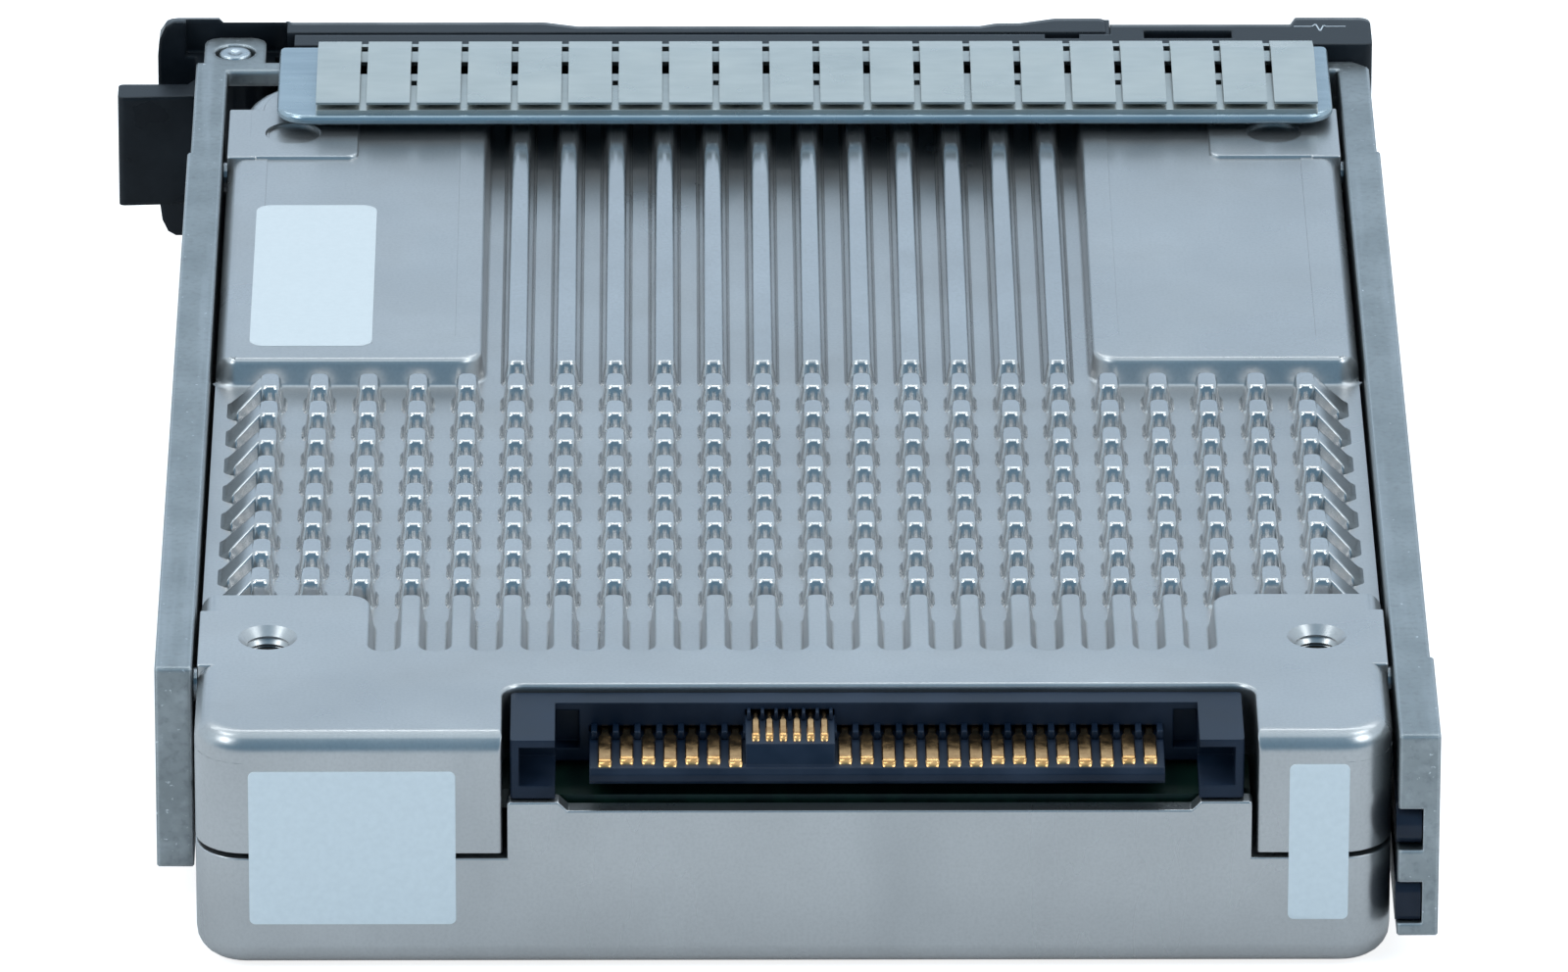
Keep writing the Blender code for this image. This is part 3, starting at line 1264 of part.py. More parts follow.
def spring_fingers():
    """Make the finger strip as one folded sheet."""
    path, base_points = finger_profile()
    columns = 2 * FINGERS - 1
    bm = bmesh.new()
    bmesh.ops.create_grid(bm, x_segments=columns, y_segments=len(path) - 1, size=0.5)
    start = FINGER_CENTRE - ((FINGERS - 1) * FINGER_PITCH + FINGER_WIDTH) / 2
    for vert in bm.verts:
        column = round((vert.co.x + 0.5) * columns)
        row = round((vert.co.y + 0.5) * (len(path) - 1))
        y, z = path[row]
        vert.co = (start + (column // 2) * FINGER_PITCH + (column % 2) * FINGER_WIDTH, y, PLATE_TOP + z)
    gaps = []
    for face in bm.faces:
        middle = face.calc_center_median()
        width = max(vert.co.x for vert in face.verts) - min(vert.co.x for vert in face.verts)
        folded = any(vert.co.z > PLATE_TOP + path[base_points][1] - WELD for vert in face.verts)
        if folded and width < FINGER_WIDTH - WELD:
            gaps.append(face)
    bmesh.ops.delete(bm, geom=gaps, context="FACES")
    strip = from_bmesh("spring_fingers", bm)
    sheet = strip.modifiers.new("sheet", "SOLIDIFY")
    sheet.thickness = FINGER_THICKNESS
    sheet.offset = 0.0
    sheet.use_even_offset = True
    high = PLATE_TOP + (FINGER_NOSE_HEIGHT + CONTACT_CLEARANCE) / 2
    cut(strip, strip_holes("fingers_holes", PLATE_TOP, high))
    as_part(strip, "spring_fingers", SPRING_STEEL)


def light_pipe(name, middle):
    """Make a clear bar from the near end of the right rail to the lamp window."""
    half = PIPE_HEIGHT / 2
    far = BEZEL_FRONT + BEZEL_LAMP_STEP - PIPE_WINDOW_DEPTH
    plan = outline([
        (RAIL_INNER, 0.0),
        (RAIL_INNER + PIPE_WIDTH - PIPE_CHAMFER, 0.0),
        (RAIL_INNER + PIPE_WIDTH, PIPE_CHAMFER),
        (RAIL_INNER + PIPE_WIDTH, far),
        (RAIL_INNER, far),
    ])
    as_part(prism(name, plan, middle - half, middle + half), name, PIPE_PLASTIC)


def bezel_corners(back):
    """Give the bezel's plan where its front is drawn back by the given amount."""
    lamp = BEZEL_RIGHT - BEZEL_LAMP_WIDTH
    return [
        (BEZEL_LEFT, BEZEL_NEAR),
        (BEZEL_RIGHT, BEZEL_NEAR, BEZEL_CORNER / 2),
        (BEZEL_RIGHT, BEZEL_FRONT + BEZEL_LAMP_STEP - back, BEZEL_CORNER),
        (lamp + BEZEL_CORNER / 2, BEZEL_FRONT + BEZEL_LAMP_STEP - back, BEZEL_CORNER / 4),
        (lamp, BEZEL_FRONT - back, BEZEL_CORNER / 4),
        (LEVER_TIP + CLEARANCE, BEZEL_FRONT - back),
        (LEVER_TIP + CLEARANCE, BEZEL_PLATE_FRONT),
        (BEZEL_LEFT, BEZEL_PLATE_FRONT),
    ]


def honeycomb():
    """Make the hexagonal air holes of the bezel's plate."""
    hexagon = turned("hexagon", [
        (0.0, OVERSHOOT),
        (BEZEL_HEX_RADIUS, OVERSHOOT),
        (BEZEL_HEX_RADIUS, -BEZEL_PLATE - OVERSHOOT),
        (0.0, -BEZEL_PLATE - OVERSHOOT),
    ], HEXAGON_STEPS)
    middle_x = (LEVER_POCKET[0] + LEVER_POCKET[1]) / 2
    middle_z = (BEZEL_BOTTOM + BEZEL_TOP) / 2
    rise = BEZEL_HEX_PITCH * math.sqrt(3) / 2
    places = []
    for row in range(BEZEL_HEX_ROWS):
        shift = BEZEL_HEX_PITCH / 2 if row % 2 else 0.0
        columns = BEZEL_HEX_COLUMNS - row % 2
        start = middle_x - (BEZEL_HEX_COLUMNS - 1) / 2 * BEZEL_HEX_PITCH + shift
        height = middle_z + (row - (BEZEL_HEX_ROWS - 1) / 2) * rise
        for column in range(columns):
            place = Matrix.Translation((start + column * BEZEL_HEX_PITCH, BEZEL_PLATE_FRONT, height))
            places.append(place @ Matrix.Rotation(-math.pi / 2, 4, "X"))
    return placed("honeycomb", hexagon, places)


def latch_bay():
    """Give the corners of the recess that the latch slides in."""
    middle = (BEZEL_BOTTOM + BEZEL_TOP) / 2
    half = LATCH_HEIGHT / 2 + CLEARANCE
    floor = BEZEL_FRONT - LATCH_DEPTH - CLEARANCE
    return (
        (LATCH_START - CLEARANCE, floor, middle - half),
        (LATCH_START + LATCH_WIDTH + LATCH_TRAVEL + CLEARANCE, BEZEL_FRONT + OVERSHOOT, middle + half),
    )


def bezel():
    """Make the fixed part of the front: air plate, latch bay and lamp block."""
    face = crowned("bezel", bezel_corners, BEZEL_BOTTOM, BEZEL_TOP, BEZEL_CROWN)
    slot_near = BEZEL_NEAR + LATCH_WALL - CLEARANCE
    top_cuts = blocks("top_cuts", [
        ((BEZEL_TOP_SLOT[0], slot_near, BEZEL_TOP - BEZEL_TOP_SLOT_DEPTH),
         (BEZEL_TOP_SLOT[1], slot_near + BEZEL_TOP_SLOT_WIDTH, BEZEL_TOP + OVERSHOOT)),
        ((BEZEL_NOTCH[0], slot_near, BEZEL_TOP - BEZEL_TOP_SLOT_DEPTH),
         (BEZEL_NOTCH[1], BEZEL_PLATE_FRONT + OVERSHOOT, BEZEL_TOP + OVERSHOOT)),
    ])
    far = BEZEL_FRONT + BEZEL_LAMP_STEP + OVERSHOOT
    clear = CLEARANCE
    pipe_holes = []
    for middle in (LOWER_PIPE, UPPER_PIPE):
        half = PIPE_HEIGHT / 2 + clear
        pipe_holes.append(block(
            "pipe_hole",
            (RAIL_INNER - clear, BEZEL_NEAR - OVERSHOOT, middle - half),
            (RAIL_INNER + PIPE_WIDTH + clear, far, middle + half),
        ))
    nose_low, nose_high = nose_way()
    hook_top = (RAIL_UNDERSIDE + DRIVE_HEIGHT + VENT_HEIGHT) / 2 - CLEARANCE
    hooks = []
    for x in BEZEL_HOOKS:
        hooks.append(((x - BEZEL_HOOK_WIDTH / 2, WALL_NEAR + CLEARANCE, hook_top - BEZEL_HOOK_THICKNESS),
                      (x + BEZEL_HOOK_WIDTH / 2, BEZEL_NEAR + ROOT, hook_top)))
    cut(face, honeycomb(), block("latch_bay", *latch_bay()), block("nose_way", nose_low, nose_high))
    cut(face, top_cuts, *pipe_holes)
    join(face, blocks("snap_hooks", hooks))
    as_part(face, "bezel", BLACK_PLASTIC)


def nose_way():
    """Give the corners of the opening that the latch's nose comes out through."""
    low, high = latch_bay()
    middle = (low[2] + high[2]) / 2
    half = LATCH_HEIGHT / 4 + CLEARANCE
    return (LEVER_TIP - OVERSHOOT, low[1], middle - half), (low[0] + OVERSHOOT, high[1], middle + half)


def lever_corners(back):
    """Give the lever's plan where its front is drawn back by the given amount."""
    cheek_front = LEVER_FRONT + LEVER_CHEEK_STEP - back
    cheek_back = PIVOT.y + LEVER_CHEEK_BACK
    corner = min(LEVER_CORNER, (cheek_front - cheek_back) / 2)
    front = LEVER_FRONT - back
    thin_front = max(front, cheek_back + LEVER_THINNEST)
    scoop = front - LEVER_SCOOP_DEPTH
    thumb = front + LEVER_THUMB_HEIGHT
    tail = PIVOT.x - LEVER_TAIL + back * LEVER_END_ROUNDING
    cheek = PIVOT.x - LEVER_TAIL + LEVER_CHEEK_WIDTH
    shoulder = PIVOT.x + LEVER_SHOULDER
    ramp = LEVER_SCOOP_RAMP
    return [
        (tail, cheek_back),
        (shoulder, cheek_back),
        (shoulder, LEVER_BACK),
        (LEVER_TIP, LEVER_BACK),
        (LEVER_TIP, thumb, LEVER_CORNER / 2),
        (LEVER_THUMB_START, thumb, LEVER_CORNER),
        (LEVER_THUMB_START - ramp, front - LEVER_SCOOP_DEPTH / 3, LEVER_CORNER),
        (LEVER_SCOOP[1] + ramp / 2, front - LEVER_SCOOP_DEPTH / 3, LEVER_CORNER),
        (LEVER_SCOOP[1], scoop),
        (LEVER_SCOOP[0] + ramp, scoop, LEVER_CORNER),
        (LEVER_SCOOP[0], front, LEVER_CORNER),
        (shoulder + LEVER_THINNEST, front),
        (shoulder, thin_front),
        (cheek + LEVER_THINNEST, thin_front),
        (cheek, cheek_front),
        (tail, cheek_front, corner),
    ]


def lever():
    """Make the swinging front: handle, hub and the hook that draws the drive in."""
    handle = crowned("lever", lever_corners, BEZEL_BOTTOM, BEZEL_TOP, BEZEL_CROWN)
    left = PIVOT.x - LEVER_RECESS_SIDE
    right = PIVOT.x + LEVER_RECESS_SIDE
    near = PIVOT.y - HUB_RADIUS
    recess_back = PIVOT.y + LEVER_RECESS_BACK
    recesses = blocks("tab_recesses", [
        ((left, near, HUB_TOP), (right, recess_back, BEZEL_TOP + OVERSHOOT)),
        ((left, near, BEZEL_BOTTOM - OVERSHOOT), (right, recess_back, HUB_BOTTOM)),
    ])
    wall = LEVER_FRONT - LEVER_SCOOP_DEPTH - LEVER_WALL
    pocket = block(
        "lever_pocket",
        (LEVER_POCKET[0], LEVER_BACK - OVERSHOOT, BEZEL_BOTTOM + LEVER_WALL),
        (LEVER_POCKET[1], wall, BEZEL_TOP - LEVER_WALL),
    )
    hub_plan = outline([
        (PIVOT.x - HUB_RADIUS, recess_back + ROOT),
        (PIVOT.x - HUB_RADIUS, PIVOT.y - HUB_RADIUS, HUB_RADIUS * FULL_ROUND),
        (PIVOT.x + HUB_RADIUS, PIVOT.y - HUB_RADIUS, HUB_RADIUS * FULL_ROUND),
        (PIVOT.x + HUB_RADIUS, recess_back + ROOT),
    ], HUB_STEPS)
    hub = prism("hub", hub_plan, HUB_BOTTOM, HUB_TOP)
    hook_low = RAIL_UNDERSIDE + HOOK_SILL
    hook_near = PIVOT.y - HOOK_SETBACK
    hook_plan = outline([
        (PIVOT.x - HOOK_REACH, hook_near, HOOK_RADIUS),
        (PIVOT.x - HUB_RADIUS, hook_near + HOOK_RADIUS, HOOK_RADIUS),
        (PIVOT.x - PIN_RADIUS / 2, PIVOT.y - HUB_RADIUS + ROOT),
        (PIVOT.x - HUB_RADIUS + ROOT, PIVOT.y),
        (PIVOT.x - HUB_RADIUS - HOOK_NECK_STEP, hook_near + HOOK_THICKNESS),
        (PIVOT.x - HOOK_REACH, hook_near + HOOK_THICKNESS, HOOK_RADIUS),
    ], SMALL_ARC_STEPS)
    hook = prism("hook", hook_plan, hook_low, hook_low + HOOK_HEIGHT)
    bore = turned("bore", [
        (0.0, HUB_TOP + OVERSHOOT),
        (PIN_RADIUS + CLEARANCE, HUB_TOP + OVERSHOOT),
        (PIN_RADIUS + CLEARANCE, HUB_BOTTOM - OVERSHOOT),
        (0.0, HUB_BOTTOM - OVERSHOOT),
    ])
    middle_z = (BEZEL_BOTTOM + BEZEL_TOP) / 2
    low = middle_z - LEVER_SLOT_HEIGHT / 2
    high = middle_z + LEVER_SLOT_HEIGHT / 2
    span = (LEVER_POCKET[1] - LEVER_POCKET[0]) / LEVER_SLOTS
    slots = []
    for index in range(LEVER_SLOTS):
        x = LEVER_POCKET[0] + (index + 0.5) * span
        slots.append(((x - LEVER_SLOT_WIDTH / 2, wall - OVERSHOOT, low),
                      (x + LEVER_SLOT_WIDTH / 2, LEVER_FRONT + OVERSHOOT, high)))
    cut(handle, recesses, pocket, blocks("lever_slots", slots))
    join(handle, hub, hook)
    cut(handle, placed("bore", bore, [Matrix.Translation((*PIVOT, 0.0))]))
    cut(handle, keeper())
    as_part(handle, "lever", BLACK_PLASTIC)
    handle.data.transform(Matrix.Translation((-PIVOT.x, -PIVOT.y, 0.0)))
    handle.location = (PIVOT.x, PIVOT.y, 0.0)


def keeper():
    """Make the notch in the lever's tip that faces the latch's nose."""
    low, high = nose_way()
    return block(
        "keeper",
        (LEVER_TIP - LATCH_WALL, low[1], low[2]),
        (LEVER_TIP + OVERSHOOT, LEVER_FRONT + LEVER_THUMB_HEIGHT + OVERSHOOT, high[2]),
    )


def pivot_pin():
    """Make the pin that the lever turns on."""
    pin = turned("pin", [
        (0.0, DRIVE_HEIGHT - PIN_DIMPLE_DEPTH),
        (PIN_DIMPLE_RADIUS, DRIVE_HEIGHT),
        (PIN_RADIUS, DRIVE_HEIGHT),
        (PIN_RADIUS, RAIL_UNDERSIDE),
        (0.0, RAIL_UNDERSIDE),
    ])
    copies("pivot_pin", pin, [Matrix.Translation((*PIVOT, 0.0))], SCREW_STEEL, True)


def release_latch():
    """Make the sliding latch: thumb grip, nose and the hole for its spring."""
    low, high = latch_bay()
    start = LATCH_START
    end = LATCH_START + LATCH_WIDTH
    body = block(
        "release_latch",
        (start, low[1] + CLEARANCE, low[2] + CLEARANCE),
        (end, BEZEL_FRONT - CLEARANCE, high[2] - CLEARANCE),
    )
    way_low, way_high = nose_way()
    nose = block(
        "latch_nose",
        (LEVER_TIP + CLEARANCE, low[1] + 2 * CLEARANCE, way_low[2] + CLEARANCE),
        (start + ROOT, BEZEL_FRONT - LATCH_DEPTH / 2, way_high[2] - CLEARANCE),
    )
    middle_x = (start + end) / 2
    grips = []
    for index in range(LATCH_GRIPS):
        x = middle_x + (index - (LATCH_GRIPS - 1) / 2) * LATCH_GRIP_PITCH
        grips.append(((x - LATCH_GRIP_WIDTH / 2, BEZEL_FRONT - CLEARANCE - ROOT, low[2] + LATCH_WALL),
                      (x + LATCH_GRIP_WIDTH / 2, BEZEL_FRONT + LATCH_GRIP_HEIGHT, high[2] - LATCH_WALL)))
    hole = turned("spring_hole", [
        (0.0, OVERSHOOT),
        (SPRING_RADIUS + SPRING_WIRE + CLEARANCE / 2, OVERSHOOT),
        (SPRING_RADIUS + SPRING_WIRE + CLEARANCE / 2, -SPRING_POCKET_DEPTH),
        (0.0, -SPRING_POCKET_DEPTH),
    ], TURNED_STEPS // 2)
    join(body, nose, blocks("latch_grips", grips))
    cut(body, placed("spring_hole", hole, [Matrix.Translation((end, *spring_line())) @ sideways(1)]))
    as_part(body, "release_latch", BLACK_PLASTIC)


def spring_line():
    """Give the depth and height of the latch spring's axis."""
    low, high = latch_bay()
    return BEZEL_FRONT - LATCH_DEPTH / 2 - CLEARANCE, (low[2] + high[2]) / 2


def latch_spring():
    """Make the coil that pushes the latch back to the lever."""
    pocket_floor = LATCH_START + LATCH_WIDTH - SPRING_POCKET_DEPTH
    start = pocket_floor + LATCH_TRAVEL + CLEARANCE + SPRING_WIRE
    end = latch_bay()[1][0] - CLEARANCE - SPRING_WIRE
    y, z = spring_line()
    count = SPRING_TURNS * SPRING_POINTS_PER_TURN
    curve = bpy.data.curves.new("latch_spring", "CURVE")
    curve.dimensions = "3D"
    curve.bevel_depth = SPRING_WIRE
    curve.bevel_resolution = 2
    curve.use_fill_caps = True
    spline = curve.splines.new("POLY")
    spline.points.add(count)
    for index, point in enumerate(spline.points):
        turn = 2 * math.pi * index / SPRING_POINTS_PER_TURN
        along = start + (end - start) * index / count
        point.co = (along, y + SPRING_RADIUS * math.cos(turn), z + SPRING_RADIUS * math.sin(turn), 1.0)
    drawn = new_object("latch_spring", curve, CUTTERS)
    copies("latch_spring", frozen(drawn), [UPRIGHT], SPRING_STEEL, True)


finned_case()
cover_case()
case_screws()
circuit_board()
board_parts()
capacitors()
connector_housing()
all_contacts()
carrier_frame()
side_screws()
shielding_plate()
spring_fingers()
light_pipe("lower_light_pipe", LOWER_PIPE)
light_pipe("upper_light_pipe", UPPER_PIPE)
bezel()
lever()
pivot_pin()
release_latch()
latch_spring()
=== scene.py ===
"""Looks of a hot swap solid state drive: cast metal, plated sheet and mouldings.

Lengths are metres. Pieces are laid out from the connector end of the drive, as
the photograph shows them, and moved to the frame's origin when they are finished.
"""

import math

import bmesh
import bpy
from mathutils import Matrix, Vector


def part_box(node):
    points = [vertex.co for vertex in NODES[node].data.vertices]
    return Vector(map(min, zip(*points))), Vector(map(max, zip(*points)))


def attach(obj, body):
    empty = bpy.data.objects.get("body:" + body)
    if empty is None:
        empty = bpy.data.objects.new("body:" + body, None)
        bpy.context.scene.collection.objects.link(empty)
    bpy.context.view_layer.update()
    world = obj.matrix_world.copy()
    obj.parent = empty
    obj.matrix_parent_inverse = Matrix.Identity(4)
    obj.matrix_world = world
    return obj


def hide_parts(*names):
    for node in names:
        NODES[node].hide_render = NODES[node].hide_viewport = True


MM = 0.001
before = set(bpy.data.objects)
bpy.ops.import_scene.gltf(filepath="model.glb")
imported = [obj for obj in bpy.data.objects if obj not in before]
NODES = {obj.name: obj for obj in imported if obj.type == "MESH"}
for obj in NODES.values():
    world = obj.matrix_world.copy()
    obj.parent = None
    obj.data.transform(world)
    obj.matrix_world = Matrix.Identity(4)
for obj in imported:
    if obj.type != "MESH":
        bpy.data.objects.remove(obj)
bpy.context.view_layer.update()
FIXED = "drive_and_carrier"

# Places and sizes that come from the frame
CASE_LOW, CASE_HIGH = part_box("finned_case")
TO_FRAME = Vector((0.0, CASE_LOW.y, 0.0))
HALF_WIDTH = CASE_HIGH.x
LENGTH = CASE_HIGH.y - CASE_LOW.y
TOP = CASE_HIGH.z
CASE_UNDERSIDE = CASE_LOW.z
PLATE_LOW, PLATE_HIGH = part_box("shielding_plate")
BEZEL_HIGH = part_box("bezel")[1]
LEVER_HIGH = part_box("lever")[1]

# Finned casting
FACE_BACK = 0.06 * MM
FIN_HEIGHT = 1.75 * MM
FIN_PITCH = 3.0 * MM
FIN_TOP = 1.17 * MM
FIN_DRAFT = 0.27 * MM
FIN_FLOOR = TOP - FIN_HEIGHT
SINK = 0.1 * MM
PIN_COLUMNS = 22
PIN_ROWS = 8
PIN_PITCH = 4.1 * MM
PIN_LENGTH = 2.3 * MM
LONG_FINS = 12
LONG_FIN_START = 54.8 * MM
LONG_FIN_GAP = 1.0 * MM
FIN_NEAR_CORNER = 0.44 * MM
FIN_FAR_CORNER = 0.42 * MM
FIN_NEAR_DRAFT = 0.8
RIBS = 16
RIB_END_ROUND = 0.42 * MM
OUTER_RIB_ROUND = 1.4 * MM
VALLEY_START = 12.2 * MM
PLATEAU_END = 20.2 * MM
BAY_HALF_WIDTH = 18.7 * MM
PAD_GAP = 0.5 * MM
PAD_CUT = 0.9 * MM
PAD_DROP = 0.15 * MM
PAD_TOP = TOP - PAD_DROP
RECESS_INNER = 20.3 * MM
RECESS_OUTER = 32.4 * MM
RECESS_NEAR = 57.7 * MM
RECESS_FAR = 93.6 * MM
RECESS_DEPTH = 0.06 * MM
RECESS_CORNER = 1.2 * MM
RIDGE_REACH = 1.95 * MM
RIDGE_SLOPE = 0.82
RIDGE_DRAFT = 0.22 * MM
CASE_CORNER = 3.0 * MM
FAR_CORNER = 6.0 * MM
FAR_INSET = 0.8 * MM
FAR_STEP = 6.15 * MM
TOP_FILLET = 1.2 * MM
BOTTOM_FILLET = 1.6 * MM
EDGE_ROUND = 0.25 * MM
FOOT_ROUND = 0.17 * MM
FINE_ROUND = 0.12 * MM
SEAM_ROUND = 0.1 * MM
NOTCH_LEFT = -17.0 * MM
NOTCH_RIGHT = 27.0 * MM
NOTCH_DEPTH = 7.3 * MM
NOTCH_RADIUS = 1.3 * MM
SCREW_X = 30.86 * MM
NEAR_SCREW = 14.0 * MM
FAR_SCREW = 90.6 * MM
SCREW_RADIUS = 1.25 * MM
SINK_RADIUS = 1.75 * MM
SINK_LIP = 0.08 * MM
WELL_SEAT = 1.9 * MM
FAR_END_RADIUS = 1.55 * MM
FAR_END_SINK = 0.7 * MM
NEAR_END_RADIUS = 1.2 * MM
NEAR_END_SINK = 1.1 * MM
SCREW_END_LENGTH = 1.2 * MM
SCREW_END_ROUND = 0.15 * MM
SOCKET_DEPTH = 0.4 * MM
THREAD_PITCH = 0.5 * MM
THREAD_DEPTH = 0.22 * MM
THREAD_TURNS = 7
BOSS_WIDTH = 8.2 * MM
BOSS_REACH = 3.8 * MM
BOSS_MARGIN = 1.3 * MM
SIDE_BOSS_HALF = 3.9 * MM
SIDE_BOSS_WIDTH = 1.9 * MM
SIDE_BOSS_HEIGHT = 2.7 * MM

# Cover
COVER_SEAM = 7.15 * MM
CASE_SCREW_INSET = 4.4 * MM
CASE_SCREW_END = 5.4 * MM
CASE_SCREW_WELL = 2.2 * MM
CASE_SCREW_SEAT = 1.9 * MM
UPSTAND_EAR = 3.6 * MM
UPSTAND_SILL = 3.05 * MM
UPSTAND_EAR_WIDTH = 3.0 * MM
UPSTAND_DEPTH = 1.2 * MM
UPSTAND_GAP = 0.3 * MM

# Connector
CONTACT_SEAT = 12.85 * MM
KEY_SEAT = 13.88 * MM
CONTACT_THICKNESS = 0.2 * MM
CONTACT_PITCH = 1.27 * MM
CONTACT_WIDTH = 0.8 * MM
CONTACT_NECK = 0.5 * MM
CONTACT_ROOT = 5.9 * MM
NECK_END = 4.7 * MM
LONG_TIP = 0.62 * MM
SHORT_TIP = 1.0 * MM
SIGNAL_START = -11.0 * MM
SIGNALS = 7
LONG_SIGNALS = (0, 3, 6)
POWER_START = 3.0 * MM
POWERS = 15
LONG_POWERS = (2, 3, 4, 5, 6, 9, 11, 12)
AUXILIARIES = 6
AUXILIARY_START = -2.2 * MM
AUXILIARY_PITCH = 0.8 * MM
AUXILIARY_WIDTH = 0.45 * MM
AUXILIARY_TIP = 2.0 * MM
RIB_WIDTH = 0.36 * MM
RIB_HEIGHT = 0.42 * MM
RIB_LENGTH = 1.5 * MM
RIB_ROUND = 0.06 * MM

# Plate and fingers
PLATE_CORNER = 2.0 * MM
PLATE_FAR_CORNER = 0.4 * MM
PLATE_ROUND = 0.3 * MM
PLATE_GAUGE = 0.6 * MM
FINGERS = 20
FINGER_PITCH = 3.175 * MM
FINGER_WIDTH = 2.73 * MM
STRIP_RISE = 0.28 * MM
FINGER_CENTRE = 2.1 * MM
SHEET = 0.15 * MM
STRIP_NEAR = 91.0 * MM
STRIP_FAR = 101.9 * MM
STRIP_CORNER = 0.1 * MM
STRIP_ROUND = 0.05 * MM
SLOT_NEAR = 96.9 * MM
SLOT_FAR = 98.9 * MM
SLOT_HALF = 0.3 * MM

# Side view of a finger: (place from the connector end, height over the strip) in millimetres
FINGER_PROFILE = (
    (99.0, 0.0), (101.4, 0.0), (101.66, 0.02), (101.78, 0.11), (101.72, 0.2), (101.4, 0.27),
    (100.4, 0.5), (99.55, 0.69), (99.35, 0.73), (99.15, 0.745), (98.0, 0.72), (96.0, 0.64),
    (93.8, 0.53), (92.3, 0.44), (91.7, 0.41), (91.2, 0.41),
)

# Lip at the lever's tip
LIP_REACH = 0.26 * MM
LIP_FRONT = 2.05 * MM
LIP_LENGTH = 2.45 * MM
LIP_DROP = 0.05 * MM
LIP_DEPTH = 2.6 * MM

# Light pipes
PIPE_SPREAD = 0.22 * MM

# Hinge pin
PIN_ROUND = 0.2 * MM
PIN_DIMPLE = ((0.45 * MM, 0.0), (0.4 * MM, 0.02 * MM), (0.2 * MM, 0.1 * MM), (0.02 * MM, 0.12 * MM))

# Activity mark: the points of its line in millimetres
MARK_LINE = ((32.6, 105.55), (33.75, 105.55), (34.0, 105.95), (34.25, 104.75), (34.5, 105.75),
             (34.65, 105.55), (35.9, 105.55))
MARK_HALF = 0.045 * MM
MARK_RISE = 0.01 * MM

# Labels: left, right, low and high edges in millimetres
LABEL_THICKNESS = 0.05 * MM
PAD_LABEL_CORNER = 0.9 * MM
FRONT_LABEL_CORNER = 0.35 * MM
LABEL_SPOTS = (
    (-32.9, -25.4, 57.3, 79.3),
    (-31.75, -19.7, 2.95, 12.75),
    (28.85, 32.35, 3.2, 13.15),
)

# Camera, as it stood for the photograph
CAMERA_YAW = math.radians(0.42)
CAMERA_PITCH = math.radians(23.97)
CAMERA_ROLL = math.radians(0.10)
CAMERA_AIM = Vector((-0.34 * MM, 35.82 * MM, 15.0 * MM))
CAMERA_DISTANCE = 1027.6 * MM
CAMERA_SENSOR = 36.0
CAMERA_LENS = 393.2

# Surroundings, from the side of the camera round to the far side
SKY_TONES = (
    (0.12, (0.13, 0.25, 0.36)), (0.22, (0.15, 0.28, 0.4)), (0.34, (0.42, 0.55, 0.66)),
    (0.42, (0.62, 0.78, 0.9)), (0.8, (0.56, 0.68, 0.78)), (0.96, (0.51, 0.655, 0.8)),
)
SKY_STRENGTH = 1.18
FLOOR_HALF = 3.0
FLOOR_DROP = 0.1 * MM
FLOOR_COLOUR = (0.6, 0.61, 0.62)
FLOOR_GLOW = (0.82, 0.81, 0.8)
MIRRORED_WHITE = 0.16

# Lamps: name, place, width, height, power. Each faces the origin.
LAMPS = (
    ("back_strip", (0.0, 0.66, 0.94), 1.6, 0.12, 2.1),
    ("left_spot", (-0.48, 0.12, 1.05), 0.24, 0.24, 0.9),
    ("right_spot", (0.48, 0.12, 1.05), 0.24, 0.24, 0.9),
    ("left_lamp", (-0.8, -0.5, 0.85), 0.5, 0.5, 3.0),
    ("right_lamp", (0.8, -0.5, 0.85), 0.5, 0.5, 3.0),
)
LAMP_COLOUR = (0.9, 0.97, 1.0)

# Shading, and the number of steps in a round
SMOOTH_ANGLE = math.radians(40)
BEVEL_SAMPLES = 6
CORNER_STEPS = 8
FILLET_STEPS = 6


def feed(tree, node, inputs):
    """Feed inputs of a node, by name or number, each from a socket or with a value or an RGB colour."""
    for name, value in inputs.items():
        socket = node.inputs[name]
        if isinstance(value, bpy.types.NodeSocket):
            tree.links.new(value, socket)
        else:
            socket.default_value = (*value, 1.0) if socket.type == "RGBA" else value


def add(tree, kind, inputs=None, **values):
    """Add a node to a tree, set its values and feed its inputs."""
    made = tree.nodes.new(kind)
    for name, value in values.items():
        setattr(made, name, value)
    feed(tree, made, inputs or {})
    return made


def set_stops(ramp, stops):
    """Give a colour ramp its stops of (position, colour)."""
    elements = ramp.color_ramp.elements
    while len(elements) < len(stops):
        elements.new(0.5)
    for element, (position, colour) in zip(elements, stops):
        element.position = position
        element.color = (*colour, 1.0)


